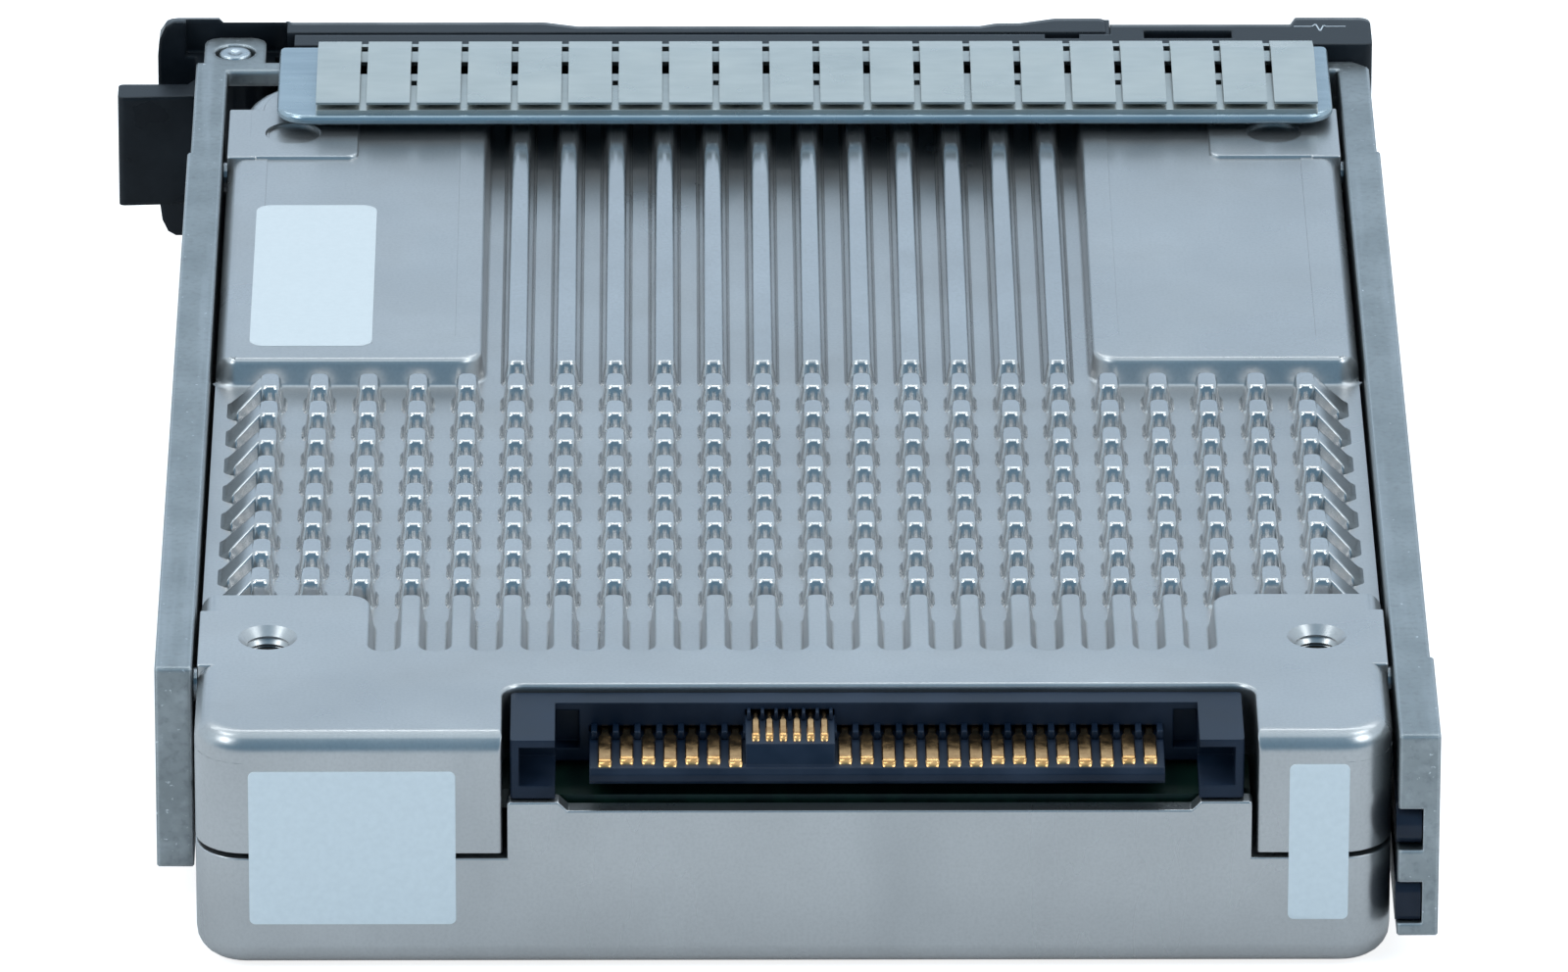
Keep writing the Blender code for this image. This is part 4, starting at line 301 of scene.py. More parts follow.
class Look:
    """A material with a shader and the nodes that feed it."""

    def __init__(self, name):
        self.material = bpy.data.materials.new(name)
        self.material.use_nodes = True
        self.tree = self.material.node_tree
        self.shader = self.tree.nodes["Principled BSDF"]
        self.place = self.node("TexCoord").outputs["Object"]

    def node(self, kind, inputs=None, **values):
        """Add a shader node, set its values and feed its inputs."""
        return add(self.tree, f"ShaderNode{kind}", inputs, **values)

    def noise(self, scale, detail=2.0, stretch=(1.0, 1.0, 1.0)):
        """Give a noise in cycles a metre, drawn out along an axis if asked."""
        mapping = self.node("Mapping", {"Scale": stretch, "Vector": self.place})
        noise = self.node("TexNoise", {"Scale": scale, "Detail": detail, "Vector": mapping.outputs["Vector"]})
        return noise.outputs["Fac"]

    def ramp(self, source, stops):
        """Turn a value into a colour by stops of (position, colour)."""
        ramp = self.node("ValToRGB", {"Fac": source})
        set_stops(ramp, stops)
        return ramp.outputs["Color"]

    def spread(self, source, low, high, start=0.3, end=0.7):
        """Map a noise to a range of values."""
        return self.node("MapRange", {"From Min": start, "From Max": end, "To Min": low, "To Max": high,
                                      "Value": source}).outputs["Result"]

    def blend(self, below, above, share):
        """Lay one colour over another."""
        return self.node("Mix", {"Factor": share, 6: below, 7: above}, data_type="RGBA").outputs[2]

    def edges(self, reach):
        """Give how near an outer edge a point lies, by how far a rounded normal turns there."""
        rounded = self.node("Bevel", {"Radius": reach}, samples=BEVEL_SAMPLES)
        flat = self.node("NewGeometry")
        agree = self.node("VectorMath", {0: rounded.outputs["Normal"], 1: flat.outputs["Normal"]},
                          operation="DOT_PRODUCT")
        return self.spread(agree.outputs["Value"], 1.0, 0.0, 0.86, 0.99)

    def surface(self, tone, roughness, metallic=0.0):
        """Give the shader its colour, its roughness and how metallic it is."""
        feed(self.tree, self.shader, {"Base Color": tone, "Roughness": roughness, "Metallic": metallic})

    def bumps(self, *layers, rounding=0.0):
        """Stack bumps, each (height source, depth in metres), over edges shaded as rounded."""
        under = {}
        if rounding:
            edge = self.node("Bevel", {"Radius": rounding}, samples=BEVEL_SAMPLES)
            under = {"Normal": edge.outputs["Normal"]}
        for source, depth in layers:
            bump = self.node("Bump", {"Distance": depth, "Height": source, **under})
            under = {"Normal": bump.outputs["Normal"]}
        feed(self.tree, self.shader, under)


def cast_metal(name, dark, light, roughness, grain_depth):
    """Make die cast metal: cloudy tone, fine grain and dull smears."""
    look = Look(name)
    clouds = look.noise(90.0, 4.0)
    grain = look.noise(5200.0, 3.0)
    flow = look.noise(420.0, 3.0)
    smears = look.noise(150.0, 3.0, (1.0, 1.0, 0.25))
    tone = look.ramp(clouds, [(0.3, dark), (0.7, light)])
    shade = tuple(channel * 0.72 for channel in dark)
    tone = look.blend(tone, shade, look.spread(grain, 0.0, 0.25, 0.4, 0.75))
    tone = look.blend(tone, shade, look.spread(smears, 0.0, 0.22, 0.55, 0.75))
    look.surface(tone, look.spread(smears, roughness, roughness + 0.1), 0.92)
    look.bumps((flow, grain_depth * 1.5), (grain, grain_depth * 0.12))
    return look.material


def rail_metal(name):
    """Make the carrier's duller casting with brushed scratches, pale specks and a painted highlight along its
    edges.
    """
    look = Look(name)
    clouds = look.noise(260.0, 5.0)
    mottle = look.noise(2400.0, 4.0)
    scratches = look.noise(900.0, 4.0, (1.0, 0.04, 1.0))
    specks = look.noise(2600.0, 2.0)
    tone = look.ramp(clouds, [(0.3, (0.27, 0.29, 0.295)), (0.7, (0.36, 0.38, 0.385))])
    tone = look.blend(tone, (0.2, 0.21, 0.22), look.spread(mottle, 0.0, 0.45, 0.5, 0.75))
    worn = look.spread(scratches, 0.0, 0.45, 0.52, 0.75)
    tone = look.blend(tone, (0.52, 0.54, 0.56), worn)
    pale = look.spread(specks, 0.0, 1.0, 0.7, 0.78)
    tone = look.blend(tone, (0.8, 0.82, 0.84), pale)
    # Painted highlight: the tone is lightened near every outer edge, standing in for the light the edges
    # catch, with a little edge wear.
    tone = look.blend(tone, (0.62, 0.64, 0.65), look.edges(0.22 * MM))
    look.surface(tone, look.spread(mottle, 0.3, 0.44), 0.88)
    look.bumps((clouds, 0.02 * MM), (specks, 0.008 * MM), rounding=0.4 * MM)
    return look.material


def sheet_metal(name, dark, light, roughness, stretch):
    """Make plated sheet with rolling marks along one axis."""
    look = Look(name)
    rolling = look.noise(1500.0, 4.0, stretch)
    clouds = look.noise(200.0, 3.0)
    tone = look.ramp(rolling, [(0.25, dark), (0.75, light)])
    tone = look.blend(tone, light, look.spread(clouds, 0.0, 0.5))
    look.surface(tone, look.spread(clouds, roughness - 0.05, roughness + 0.08), 0.85)
    look.bumps((rolling, 0.004 * MM), (clouds, 0.02 * MM))
    return look.material


def moulding(name, colour, roughness, grain_depth, rounding=0.0):
    """Make a grained plastic moulding with faint dust and rubbed patches."""
    look = Look(name)
    grain = look.noise(6500.0, 2.0)
    patches = look.noise(260.0, 4.0)
    pale = tuple(min(1.0, channel * 1.8 + 0.012) for channel in colour)
    look.surface(look.ramp(patches, [(0.35, colour), (0.8, pale)]),
                 look.spread(patches, roughness - 0.06, roughness + 0.12))
    look.shader.inputs["Specular IOR Level"].default_value = 0.24
    look.bumps((patches, grain_depth * 2), (grain, grain_depth), rounding=rounding)
    return look.material


def contact_gold(name):
    """Make gold plating, more worn where the grain is coarse."""
    look = Look(name)
    wear = look.noise(1800.0, 3.0)
    tone = look.ramp(wear, [(0.3, (0.55, 0.28, 0.1)), (0.7, (0.82, 0.47, 0.2))])
    look.surface(tone, look.spread(wear, 0.14, 0.24), 1.0)
    look.bumps((wear, 0.004 * MM))
    return look.material


def label_paper(name, colour):
    """Make a blank coated label."""
    look = Look(name)
    fibre = look.noise(3000.0, 3.0)
    faint = tuple(channel * 0.95 for channel in colour)
    look.surface(look.ramp(fibre, [(0.3, faint), (0.7, colour)]), look.spread(fibre, 0.35, 0.5))
    look.bumps((fibre, 0.003 * MM))
    return look.material


def circuit_green(name):
    """Make solder mask over faint tracks."""
    look = Look(name)
    tracks = look.noise(700.0, 2.0, (1.0, 0.15, 1.0))
    look.surface(look.ramp(tracks, [(0.4, (0.002, 0.012, 0.008)), (0.6, (0.004, 0.024, 0.014))]), 0.35)
    look.bumps((tracks, 0.01 * MM))
    return look.material


CASTING = cast_metal("casting", (0.5, 0.49, 0.485), (0.58, 0.57, 0.565), 0.26, 0.003 * MM)
FIN_CASTING = cast_metal("fin_casting", (0.52, 0.51, 0.505), (0.6, 0.59, 0.585), 0.13, 0.003 * MM)
# Screw ends: dark steel, darkened further as painted shade for the bottoms of the holes.
DARK_STEEL_WITH_HOLE_SHADE = sheet_metal("dark_steel_with_hole_shade", (0.02, 0.02, 0.02), (0.06, 0.057, 0.053), 0.35, (1.0, 1.0, 0.1))
RAIL_METAL = rail_metal("rail_metal")
PLATE_METAL = sheet_metal("plate_metal", (0.33, 0.4, 0.44), (0.45, 0.52, 0.56), 0.24, (0.08, 1.0, 1.0))
FINGER_METAL = sheet_metal("finger_metal", (0.52, 0.53, 0.5), (0.6, 0.605, 0.57), 0.3, (0.3, 1.0, 1.0))
SCREW_METAL = sheet_metal("screw_metal", (0.4, 0.43, 0.46), (0.55, 0.58, 0.6), 0.25, (1.0, 1.0, 0.1))
BEZEL_PLASTIC = moulding("bezel_plastic", (0.006, 0.008, 0.011), 0.3, 0.004 * MM, 0.35 * MM)
SOCKET_PLASTIC = moulding("socket_plastic", (0.004, 0.0105, 0.024), 0.36, 0.002 * MM, 0.15 * MM)
PIPE_PLASTIC = moulding("pipe_plastic", (0.006, 0.01, 0.02), 0.12, 0.001 * MM)
CHIP_PLASTIC = moulding("chip_plastic", (0.02, 0.02, 0.022), 0.55, 0.003 * MM)
PAD_RUBBER = moulding("pad_rubber", (0.3, 0.32, 0.35), 0.8, 0.01 * MM)
GOLD = contact_gold("contact_gold")
# The labels are one blank paper in two tones: lighter on the near face as painted light for its dim side,
# darker on the pad under the lamps as painted shade.
LABEL = label_paper("label_paper", (0.69, 0.7, 0.7))
FRONT_LABEL_PAINTED_LIGHTER = label_paper("front_label_paper_painted_lighter", (0.93, 0.93, 0.92))
MARK_INK = label_paper("mark_ink", (0.6, 0.63, 0.66))
BOARD = circuit_green("circuit_green")


def quarter(radius, steps=FILLET_STEPS):
    """Give (depth, inset) down a quarter round, from the face to the side."""
    turns = [math.pi / 2 * step / steps for step in range(steps + 1)]
    return [(radius * (1 - math.cos(turn)), radius * (1 - math.sin(turn))) for turn in turns]


def rectangle(left, near, right, far, radii, kind):
    """Give the corners of a rectangle, anticlockwise from the near left one."""
    places = ((left, near), (right, near), (right, far), (left, far))
    return [(*place, radius, kind) for place, radius in zip(places, radii)]


def offset_outline(corners, insets, steps=CORNER_STEPS):
    """Draw an outline, anticlockwise, with each side moved inwards by the inset of its kind.

    A corner is (x, y, radius, kind), and the kind belongs to the side that it starts.
    """
    points = []
    count = len(corners)
    for index, (x, y, radius, kind) in enumerate(corners):
        place = Vector((x, y))
        before = (place - Vector(corners[index - 1][:2])).normalized()
        after = (Vector(corners[(index + 1) % count][:2]) - place).normalized()
        first = insets[corners[index - 1][3]]
        second = insets[kind]
        turn = before.cross(after)
        inner = Vector((-before.y, before.x))
        if abs(turn) < 1e-4:
            points.append(place + inner * first)
            continue
        moved = place + (after * first - before * second) / turn
        if radius <= 0.0:
            points.append(moved)
            continue
        swell = (first + second) / 2 * (-1 if turn > 0 else 1)
        size = max(radius + swell, 0.02 * MM)
        half = (math.pi - math.acos(max(-1.0, min(1.0, before.dot(after))))) / 2
        run = size / math.tan(half)
        middle = moved + (after - before).normalized() * (size / math.sin(half))
        start = moved - before * run - middle
        end = moved + after * run - middle
        angle = math.atan2(start.y, start.x)
        sweep = (math.atan2(end.y, end.x) - angle + math.pi) % (2 * math.pi) - math.pi
        for step in range(steps + 1):
            bearing = angle + sweep * step / steps
            points.append(middle + size * Vector((math.cos(bearing), math.sin(bearing))))
    return points


def circle(x, y, radius, steps=32):
    """Give the points of a circle, anticlockwise."""
    turns = [2 * math.pi * step / steps for step in range(steps)]
    return [Vector((x + radius * math.cos(turn), y + radius * math.sin(turn))) for turn in turns]


def ring(bm, points, height):
    """Add a closed ring of vertices at one height."""
    return [bm.verts.new((point[0], point[1], height)) for point in points]


def bridge(bm, lower, upper):
    """Join two rings by a band of faces."""
    count = len(lower)
    for index in range(count):
        following = (index + 1) % count
        bm.faces.new((lower[index], lower[following], upper[following], upper[index]))


def cap(bm, *rings):
    """Fill the flat area between a ring and the rings of its holes."""
    edges = []
    for loop in rings:
        for index, vert in enumerate(loop):
            following = loop[(index + 1) % len(loop)]
            edge = bm.edges.get((vert, following)) or bm.edges.new((vert, following))
            edges.append(edge)
    bmesh.ops.triangle_fill(bm, use_beauty=True, edges=edges)


def terrace(bm, corners, levels, wells=(), steps=CORNER_STEPS):
    """Build a solid from outlines at each level, in order from the face that has the wells.

    A level is (height, {kind: inset}). A well is a list of (points, height), from its mouth inwards.
    """
    rings = [ring(bm, offset_outline(corners, insets, steps), height) for height, insets in levels]
    for upper, lower in zip(rings, rings[1:]):
        bridge(bm, lower, upper)
    mouths = []
    for well in wells:
        walls = [ring(bm, points, height) for points, height in well]
        for upper, lower in zip(walls, walls[1:]):
            bridge(bm, upper, lower)
        cap(bm, walls[-1])
        mouths.append(walls[0])
    cap(bm, rings[0], *mouths)
    cap(bm, rings[-1])


def eased_block(bm, corners, top, bottom, radius, steps, wells=(), corner_steps=CORNER_STEPS, foot=0.0):
    """Build a block of one kind of side, with a small round all along its top edge."""
    kind = corners[0][3]
    levels = [(top - depth, {kind: inset}) for depth, inset in quarter(radius, steps)]
    terrace(bm, corners, [*levels, (bottom, {kind: foot})], wells, corner_steps)


def loft(sections):
    """Make a solid from rings of points, joined one after another and closed at both ends."""
    bm = bmesh.new()
    rings = [[bm.verts.new(point) for point in section] for section in sections]
    for first, second in zip(rings, rings[1:]):
        bridge(bm, first, second)
    bm.faces.new(rings[0])
    bm.faces.new(rings[-1])
    bmesh.ops.recalc_face_normals(bm, faces=bm.faces)
    return bm


def turned_to(bm, start, matrix):
    """Move the points of a bmesh that were added after a count by a matrix."""
    bm.verts.ensure_lookup_table()
    bmesh.ops.transform(bm, matrix=matrix, verts=bm.verts[start:])


def stood(name, data):
    """Make an object of some data and stand it in the scene."""
    made = bpy.data.objects.new(name, data)
    bpy.context.scene.collection.objects.link(made)
    return made


def finished(name, bm, material, body, replaces=()):
    """Turn a bmesh into a piece in its place, smooth over its rounds, riding on a body."""
    bmesh.ops.recalc_face_normals(bm, faces=bm.faces)
    bmesh.ops.translate(bm, verts=bm.verts, vec=TO_FRAME)
    mesh = bpy.data.meshes.new(name)
    bm.to_mesh(mesh)
    bm.free()
    mesh.materials.append(material)
    return dressed(name, mesh, body, replaces)


def dressed(name, mesh, body, replaces=()):
    """Make an object of a mesh that is already in place, ride it on its body and hide the frame's parts that
    it replaces.
    """
    mesh.shade_smooth()
    mesh.set_sharp_from_angle(angle=SMOOTH_ANGLE)
    made = stood(name, mesh)
    level = made.modifiers.new("even_shading", "WEIGHTED_NORMAL")
    level.keep_sharp = True
    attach(made, body)
    if replaces:
        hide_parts(*replaces)
    return made


def columns(count):
    """Give the centre lines of a number of fins."""
    return [(index - (count - 1) / 2) * FIN_PITCH for index in range(count)]


def round_inset(radius, depth):
    """Give how far a quarter round has drawn in at a depth under the face."""
    if depth >= radius:
        return 0.0
    return radius - math.sqrt(max(0.0, radius * radius - (radius - depth) ** 2))


def relief_levels(top, bottom):
    """Give the levels of a raised face: wide round outside, small round and draft inside."""
    height = top - bottom
    depths = {depth for depth, _ in quarter(TOP_FILLET)} | {depth for depth, _ in quarter(EDGE_ROUND, 4)}
    depths |= {height - depth for depth, _ in quarter(FOOT_ROUND, 3)} | {height}
    levels = []
    for depth in sorted(depth for depth in depths if depth <= height + SINK / 100):
        flare = round_inset(FOOT_ROUND, height - depth)
        drawn = FIN_DRAFT * depth / FIN_HEIGHT + flare
        levels.append((top - depth, {
            "outer": round_inset(TOP_FILLET, depth),
            "inner": round_inset(EDGE_ROUND, depth) - drawn,
            "soft": round_inset(1.3 * EDGE_ROUND, depth) - 2.4 * drawn,
            "notch": round_inset(EDGE_ROUND, depth),
        }))
    sunk = dict(levels[-1][1])
    sunk["outer"] = sunk["notch"] = SINK
    levels.append((bottom - SINK, sunk))
    return levels


def notch_corners():
    """Give the corners of the connector opening, left to right."""
    return [
        (NOTCH_LEFT, FACE_BACK, EDGE_ROUND, "notch"),
        (NOTCH_LEFT, NOTCH_DEPTH, NOTCH_RADIUS, "notch"),
        (NOTCH_RIGHT, NOTCH_DEPTH, NOTCH_RADIUS, "notch"),
        (NOTCH_RIGHT, FACE_BACK, EDGE_ROUND, "outer"),
    ]


def bore(x, y, profile):
    """Describe a round hole by pairs of (radius, height), from its mouth inwards."""
    return [(circle(x, y, radius), height) for radius, height in profile]


def screw_well(x, y, top):
    """Describe a threaded hole with a countersunk mouth and turns of thread."""
    start = top - (SINK_RADIUS - SCREW_RADIUS)
    profile = [(SINK_RADIUS, top), (SINK_RADIUS - SINK_LIP, top - SINK_LIP), (SCREW_RADIUS, start)]
    for turn in range(THREAD_TURNS):
        height = start - turn * THREAD_PITCH
        profile.append((SCREW_RADIUS + THREAD_DEPTH, height - THREAD_PITCH / 2))
        profile.append((SCREW_RADIUS, height - THREAD_PITCH))
    return bore(x, y, profile)


def deep_well(x, y, top):
    """Describe a hole that is wide down to a seat and narrow under it."""
    wide = SINK_RADIUS - SINK_LIP
    seat = top - WELL_SEAT
    return bore(x, y, [(SINK_RADIUS, top), (wide, top - SINK_LIP), (wide, seat),
                       (SCREW_RADIUS, seat - SINK_LIP), (SCREW_RADIUS, top - 2 * WELL_SEAT)])


def near_plateau(bm):
    """Build the raised face by the connector, with the ribs that run out of it."""
    half = (FIN_PITCH - FIN_TOP) / 2
    corners = [(-HALF_WIDTH, FACE_BACK, CASE_CORNER, "outer"), *notch_corners()]
    corners += [(HALF_WIDTH, FACE_BACK, CASE_CORNER, "outer"), (HALF_WIDTH, PLATEAU_END, 0.0, "inner")]
    for index, x in enumerate(reversed(columns(RIBS + 1))):
        first = OUTER_RIB_ROUND if index == 0 else RIB_END_ROUND
        last = OUTER_RIB_ROUND if index == RIBS else RIB_END_ROUND
        corners += [
            (x + half, PLATEAU_END, first, "inner"),
            (x + half, VALLEY_START, half * 0.95, "inner"),
            (x - half, VALLEY_START, half * 0.95, "inner"),
            (x - half, PLATEAU_END, last, "inner"),
        ]
    corners.append((-HALF_WIDTH, PLATEAU_END, 0.0, "outer"))
    wells = [screw_well(side * SCREW_X, NEAR_SCREW, TOP) for side in (-1, 1)]
    terrace(bm, corners, relief_levels(TOP, FIN_FLOOR), wells, 5)


def handed(corners, side):
    """Mirror an outline to the left side, keeping it anticlockwise and each side's kind."""
    if side > 0:
        return corners
    count = len(corners)
    return [(-corners[index][0], corners[index][1], corners[index][2], corners[index - 1][3])
            for index in range(count - 1, -1, -1)]


def far_pad(bm, side):
    """Build one of the two raised pads beside the long fins, with its shallow field."""
    near = LONG_FIN_START + PAD_GAP
    stepped = HALF_WIDTH - FAR_INSET
    right = [
        (BAY_HALF_WIDTH, near, 1.5 * MM, "soft"),
        (HALF_WIDTH - PAD_CUT, near, 0.7 * MM, "soft"),
        (HALF_WIDTH, near + 2 * PAD_CUT, 0.4 * MM, "outer"),
        (HALF_WIDTH, LENGTH - FAR_STEP, 0.0, "outer"),
        (stepped, LENGTH - FAR_STEP, 0.0, "outer"),
        (stepped, LENGTH, FAR_CORNER, "outer"),
        (BAY_HALF_WIDTH, LENGTH, 0.0, "inner"),
    ]
    field = rectangle(RECESS_INNER, RECESS_NEAR, RECESS_OUTER, RECESS_FAR, (RECESS_CORNER,) * 4, "field")
    field = handed(field, side)
    well = [(offset_outline(field, {"field": inset}), PAD_TOP - depth)
            for depth, inset in ((0.0, 0.0), (RECESS_DEPTH, RECESS_DEPTH / 3))]
    terrace(bm, handed(right, side), relief_levels(PAD_TOP, FIN_FLOOR), [well])


def screw_boss(bm, side):
    """Build the thin raised land round a far screw hole."""
    inner = HALF_WIDTH - BOSS_WIDTH
    outer = HALF_WIDTH - BOSS_MARGIN
    near = FAR_SCREW - BOSS_REACH
    right = [
        (inner, near, 0.7 * MM, "land"),
        (outer, near, 0.3 * MM, "land"),
        (outer, LENGTH - FAR_STEP, 0.0, "land"),
        (outer - FAR_INSET, LENGTH - FAR_STEP, 0.0, "land"),
        (outer - FAR_INSET, LENGTH - BOSS_MARGIN, FAR_CORNER - BOSS_MARGIN, "land"),
        (inner, LENGTH - BOSS_MARGIN, 0.3 * MM, "land"),
    ]
    eased_block(bm, handed(right, side), TOP, PAD_TOP - SINK, FINE_ROUND, 3,
                [deep_well(side * SCREW_X, FAR_SCREW, TOP)], foot=-FINE_ROUND / 2)


def side_boss(bm, side, y):
    """Build the square edged stretch of the side beside a screw hole."""
    outer = HALF_WIDTH + SINK / 10
    right = rectangle(outer - SIDE_BOSS_WIDTH, y - SIDE_BOSS_HALF, outer, y + SIDE_BOSS_HALF,
                      (0.2 * MM, 0.15 * MM, 0.15 * MM, 0.2 * MM), "land")
    top = TOP - SINK / 10
    eased_block(bm, handed(right, side), top, top - SIDE_BOSS_HEIGHT, FINE_ROUND, 3, corner_steps=4)


def plan(kind):
    """Give the drive's plan, with its narrower far end."""
    stepped = HALF_WIDTH - FAR_INSET
    right = [
        (HALF_WIDTH, FACE_BACK, CASE_CORNER, kind),
        (HALF_WIDTH, LENGTH - FAR_STEP, 0.0, kind),
        (stepped, LENGTH - FAR_STEP, 0.0, kind),
        (stepped, LENGTH, FAR_CORNER, kind),
    ]
    return right + [(-x, y, radius, kind) for x, y, radius, _ in reversed(right)]


def casting_body():
    """Build the finned casting without its fins."""
    bm = bmesh.new()
    corners = plan("outer")
    corners = [corners[-1], *notch_corners(), *corners[:-1]]
    low = CASE_UNDERSIDE
    levels = [(FIN_FLOOR, {"outer": 0.0, "notch": 0.0})]
    levels += [(low + depth, {"outer": inset, "notch": 0.0})
               for depth, inset in reversed(quarter(SEAM_ROUND, 3))]
    terrace(bm, corners, levels)
    near_plateau(bm)
    for side in (-1, 1):
        far_pad(bm, side)
        screw_boss(bm, side)
        for y in (NEAR_SCREW, FAR_SCREW):
            side_boss(bm, side, y)
    return bm


def cover_body():
    """Build the lower half of the case, with the wall that rises under the connector."""
    bm = bmesh.new()
    seam = COVER_SEAM
    levels = [(depth, {"outer": inset}) for depth, inset in quarter(BOTTOM_FILLET)]
    levels += [(seam - depth, {"outer": inset}) for depth, inset in reversed(quarter(SEAM_ROUND, 3))]
    wells = []
    for x in (-1, 1):
        for y in (CASE_SCREW_END, LENGTH - CASE_SCREW_END):
            profile = [(CASE_SCREW_WELL, 0.0), (CASE_SCREW_WELL, CASE_SCREW_SEAT)]
            wells.append(bore(x * (HALF_WIDTH - CASE_SCREW_INSET), y, profile))
    terrace(bm, plan("outer"), levels, wells)

    start = len(bm.verts)
    left = NOTCH_LEFT + UPSTAND_GAP
    right = NOTCH_RIGHT - UPSTAND_GAP
    ear = seam + UPSTAND_EAR
    sill = seam + UPSTAND_SILL
    fall = ear - sill
    face = [
        (left, seam - 1.3 * SEAM_ROUND, 0.0, "flush"),
        (right, seam - 1.3 * SEAM_ROUND, 0.0, "edge"),
        (right, ear, 0.2 * MM, "edge"),
        (right - UPSTAND_EAR_WIDTH, ear, 0.25 * MM, "edge"),
        (right - UPSTAND_EAR_WIDTH - fall, sill, 0.25 * MM, "edge"),
        (left + UPSTAND_EAR_WIDTH + fall, sill, 0.25 * MM, "edge"),
        (left + UPSTAND_EAR_WIDTH, ear, 0.25 * MM, "edge"),
        (left, ear, 0.2 * MM, "edge"),
    ]
    front = SINK / 20 - FACE_BACK
    levels = [(front - depth, {"edge": inset, "flush": 0.0}) for depth, inset in quarter(FINE_ROUND, 3)]
    levels.append((-UPSTAND_DEPTH, {"edge": 0.0, "flush": 0.0}))
    terrace(bm, face, levels, (), 4)
    turned_to(bm, start, Matrix.Rotation(math.pi / 2, 4, "X"))
    return bm


def bar(length, width, draft, height):
    """Make one fin: rounded top, drafted sides and a foot that flows into the floor."""
    bm = bmesh.new()
    corners = [
        (-width / 2, 0.0, FIN_NEAR_CORNER, "near"),
        (width / 2, 0.0, FIN_NEAR_CORNER, "side"),
        (width / 2, length, FIN_FAR_CORNER, "side"),
        (-width / 2, length, FIN_FAR_CORNER, "side"),
    ]
    levels = []
    depths = [depth for depth, _ in quarter(EDGE_ROUND, 2)] + [height - FOOT_ROUND, height]
    for depth in depths:
        flare = round_inset(FOOT_ROUND, height - depth)
        rounded = round_inset(EDGE_ROUND, depth) - flare
        levels.append((height - depth, {
            "side": rounded - draft * depth / height,
            "near": rounded - FIN_NEAR_DRAFT * draft * depth / height,
        }))
    levels.append((-SINK, levels[-1][1]))
    terrace(bm, corners, levels, (), 3)
    bmesh.ops.recalc_face_normals(bm, faces=bm.faces)
    return bm


def socket_of(tree, name):
    """Find the identifier of a named input of a node tree."""
    return next(item.identifier for item in tree.interface.items_tree if item.name == name)


def array_tree(name, material):
    """Build a tree that sets a shape in rows and columns, with named inputs for the sizes."""
    tree = bpy.data.node_groups.new(name, "GeometryNodeTree")
    for label, kind in (("Geometry", "Geometry"), ("Shape", "Object"), ("Columns", "Int"), ("Rows", "Int"),
                        ("Column Pitch", "Float"), ("Row Pitch", "Float"), ("Corner", "Vector")):
        tree.interface.new_socket(label, in_out="INPUT", socket_type=f"NodeSocket{kind}")
    tree.interface.new_socket("Geometry", in_out="OUTPUT", socket_type="NodeSocketGeometry")
    given = tree.nodes.new("NodeGroupInput").outputs
    placed = add(tree, "GeometryNodeObjectInfo", {"Object": given["Shape"]}).outputs["Geometry"]
    for count, pitch, axis in (("Columns", "Column Pitch", "X"), ("Rows", "Row Pitch", "Y")):
        offset = add(tree, "ShaderNodeCombineXYZ", {axis: given[pitch]})
        line = add(tree, "GeometryNodeMeshLine",
                   {"Count": given[count], "Offset": offset.outputs["Vector"]}, mode="OFFSET")
        if axis == "X":
            feed(tree, line, {"Start Location": given["Corner"]})
        placed = add(tree, "GeometryNodeInstanceOnPoints",
                     {"Points": line.outputs["Mesh"], "Instance": placed}).outputs["Instances"]
    real = add(tree, "GeometryNodeRealizeInstances", {"Geometry": placed})
    paint = add(tree, "GeometryNodeSetMaterial", {"Geometry": real.outputs["Geometry"], "Material": material})
    add(tree, "NodeGroupOutput", {"Geometry": paint.outputs["Geometry"]})
    return tree


def arrayed(name, shape, material, counts, pitches, corner, body, replaces=()):
    """Repeat a shape in rows and columns by Geometry Nodes and keep the result as a piece."""
    source_mesh = bpy.data.meshes.new(f"{name}_shape")
    shape.to_mesh(source_mesh)
    shape.free()
    source = stood(f"{name}_shape", source_mesh)
    carrier = stood(f"{name}_pattern", bpy.data.meshes.new(f"{name}_pattern"))
    tree = array_tree(f"{name}_pattern", material)
    modifier = carrier.modifiers.new("pattern", "NODES")
    modifier.node_group = tree
    for label, value in (("Shape", source), ("Columns", counts[0]), ("Rows", counts[1]),
                         ("Column Pitch", pitches[0]), ("Row Pitch", pitches[1]), ("Corner", corner)):
        modifier[socket_of(tree, label)] = value
    bpy.context.view_layer.update()
    shaped = carrier.evaluated_get(bpy.context.evaluated_depsgraph_get())
    mesh = bpy.data.meshes.new_from_object(shaped)
    mesh.name = name
    mesh.transform(Matrix.Translation(TO_FRAME))
    for spare in (carrier, source):
        bpy.data.objects.remove(spare, do_unlink=True)
    return dressed(name, mesh, body, replaces)


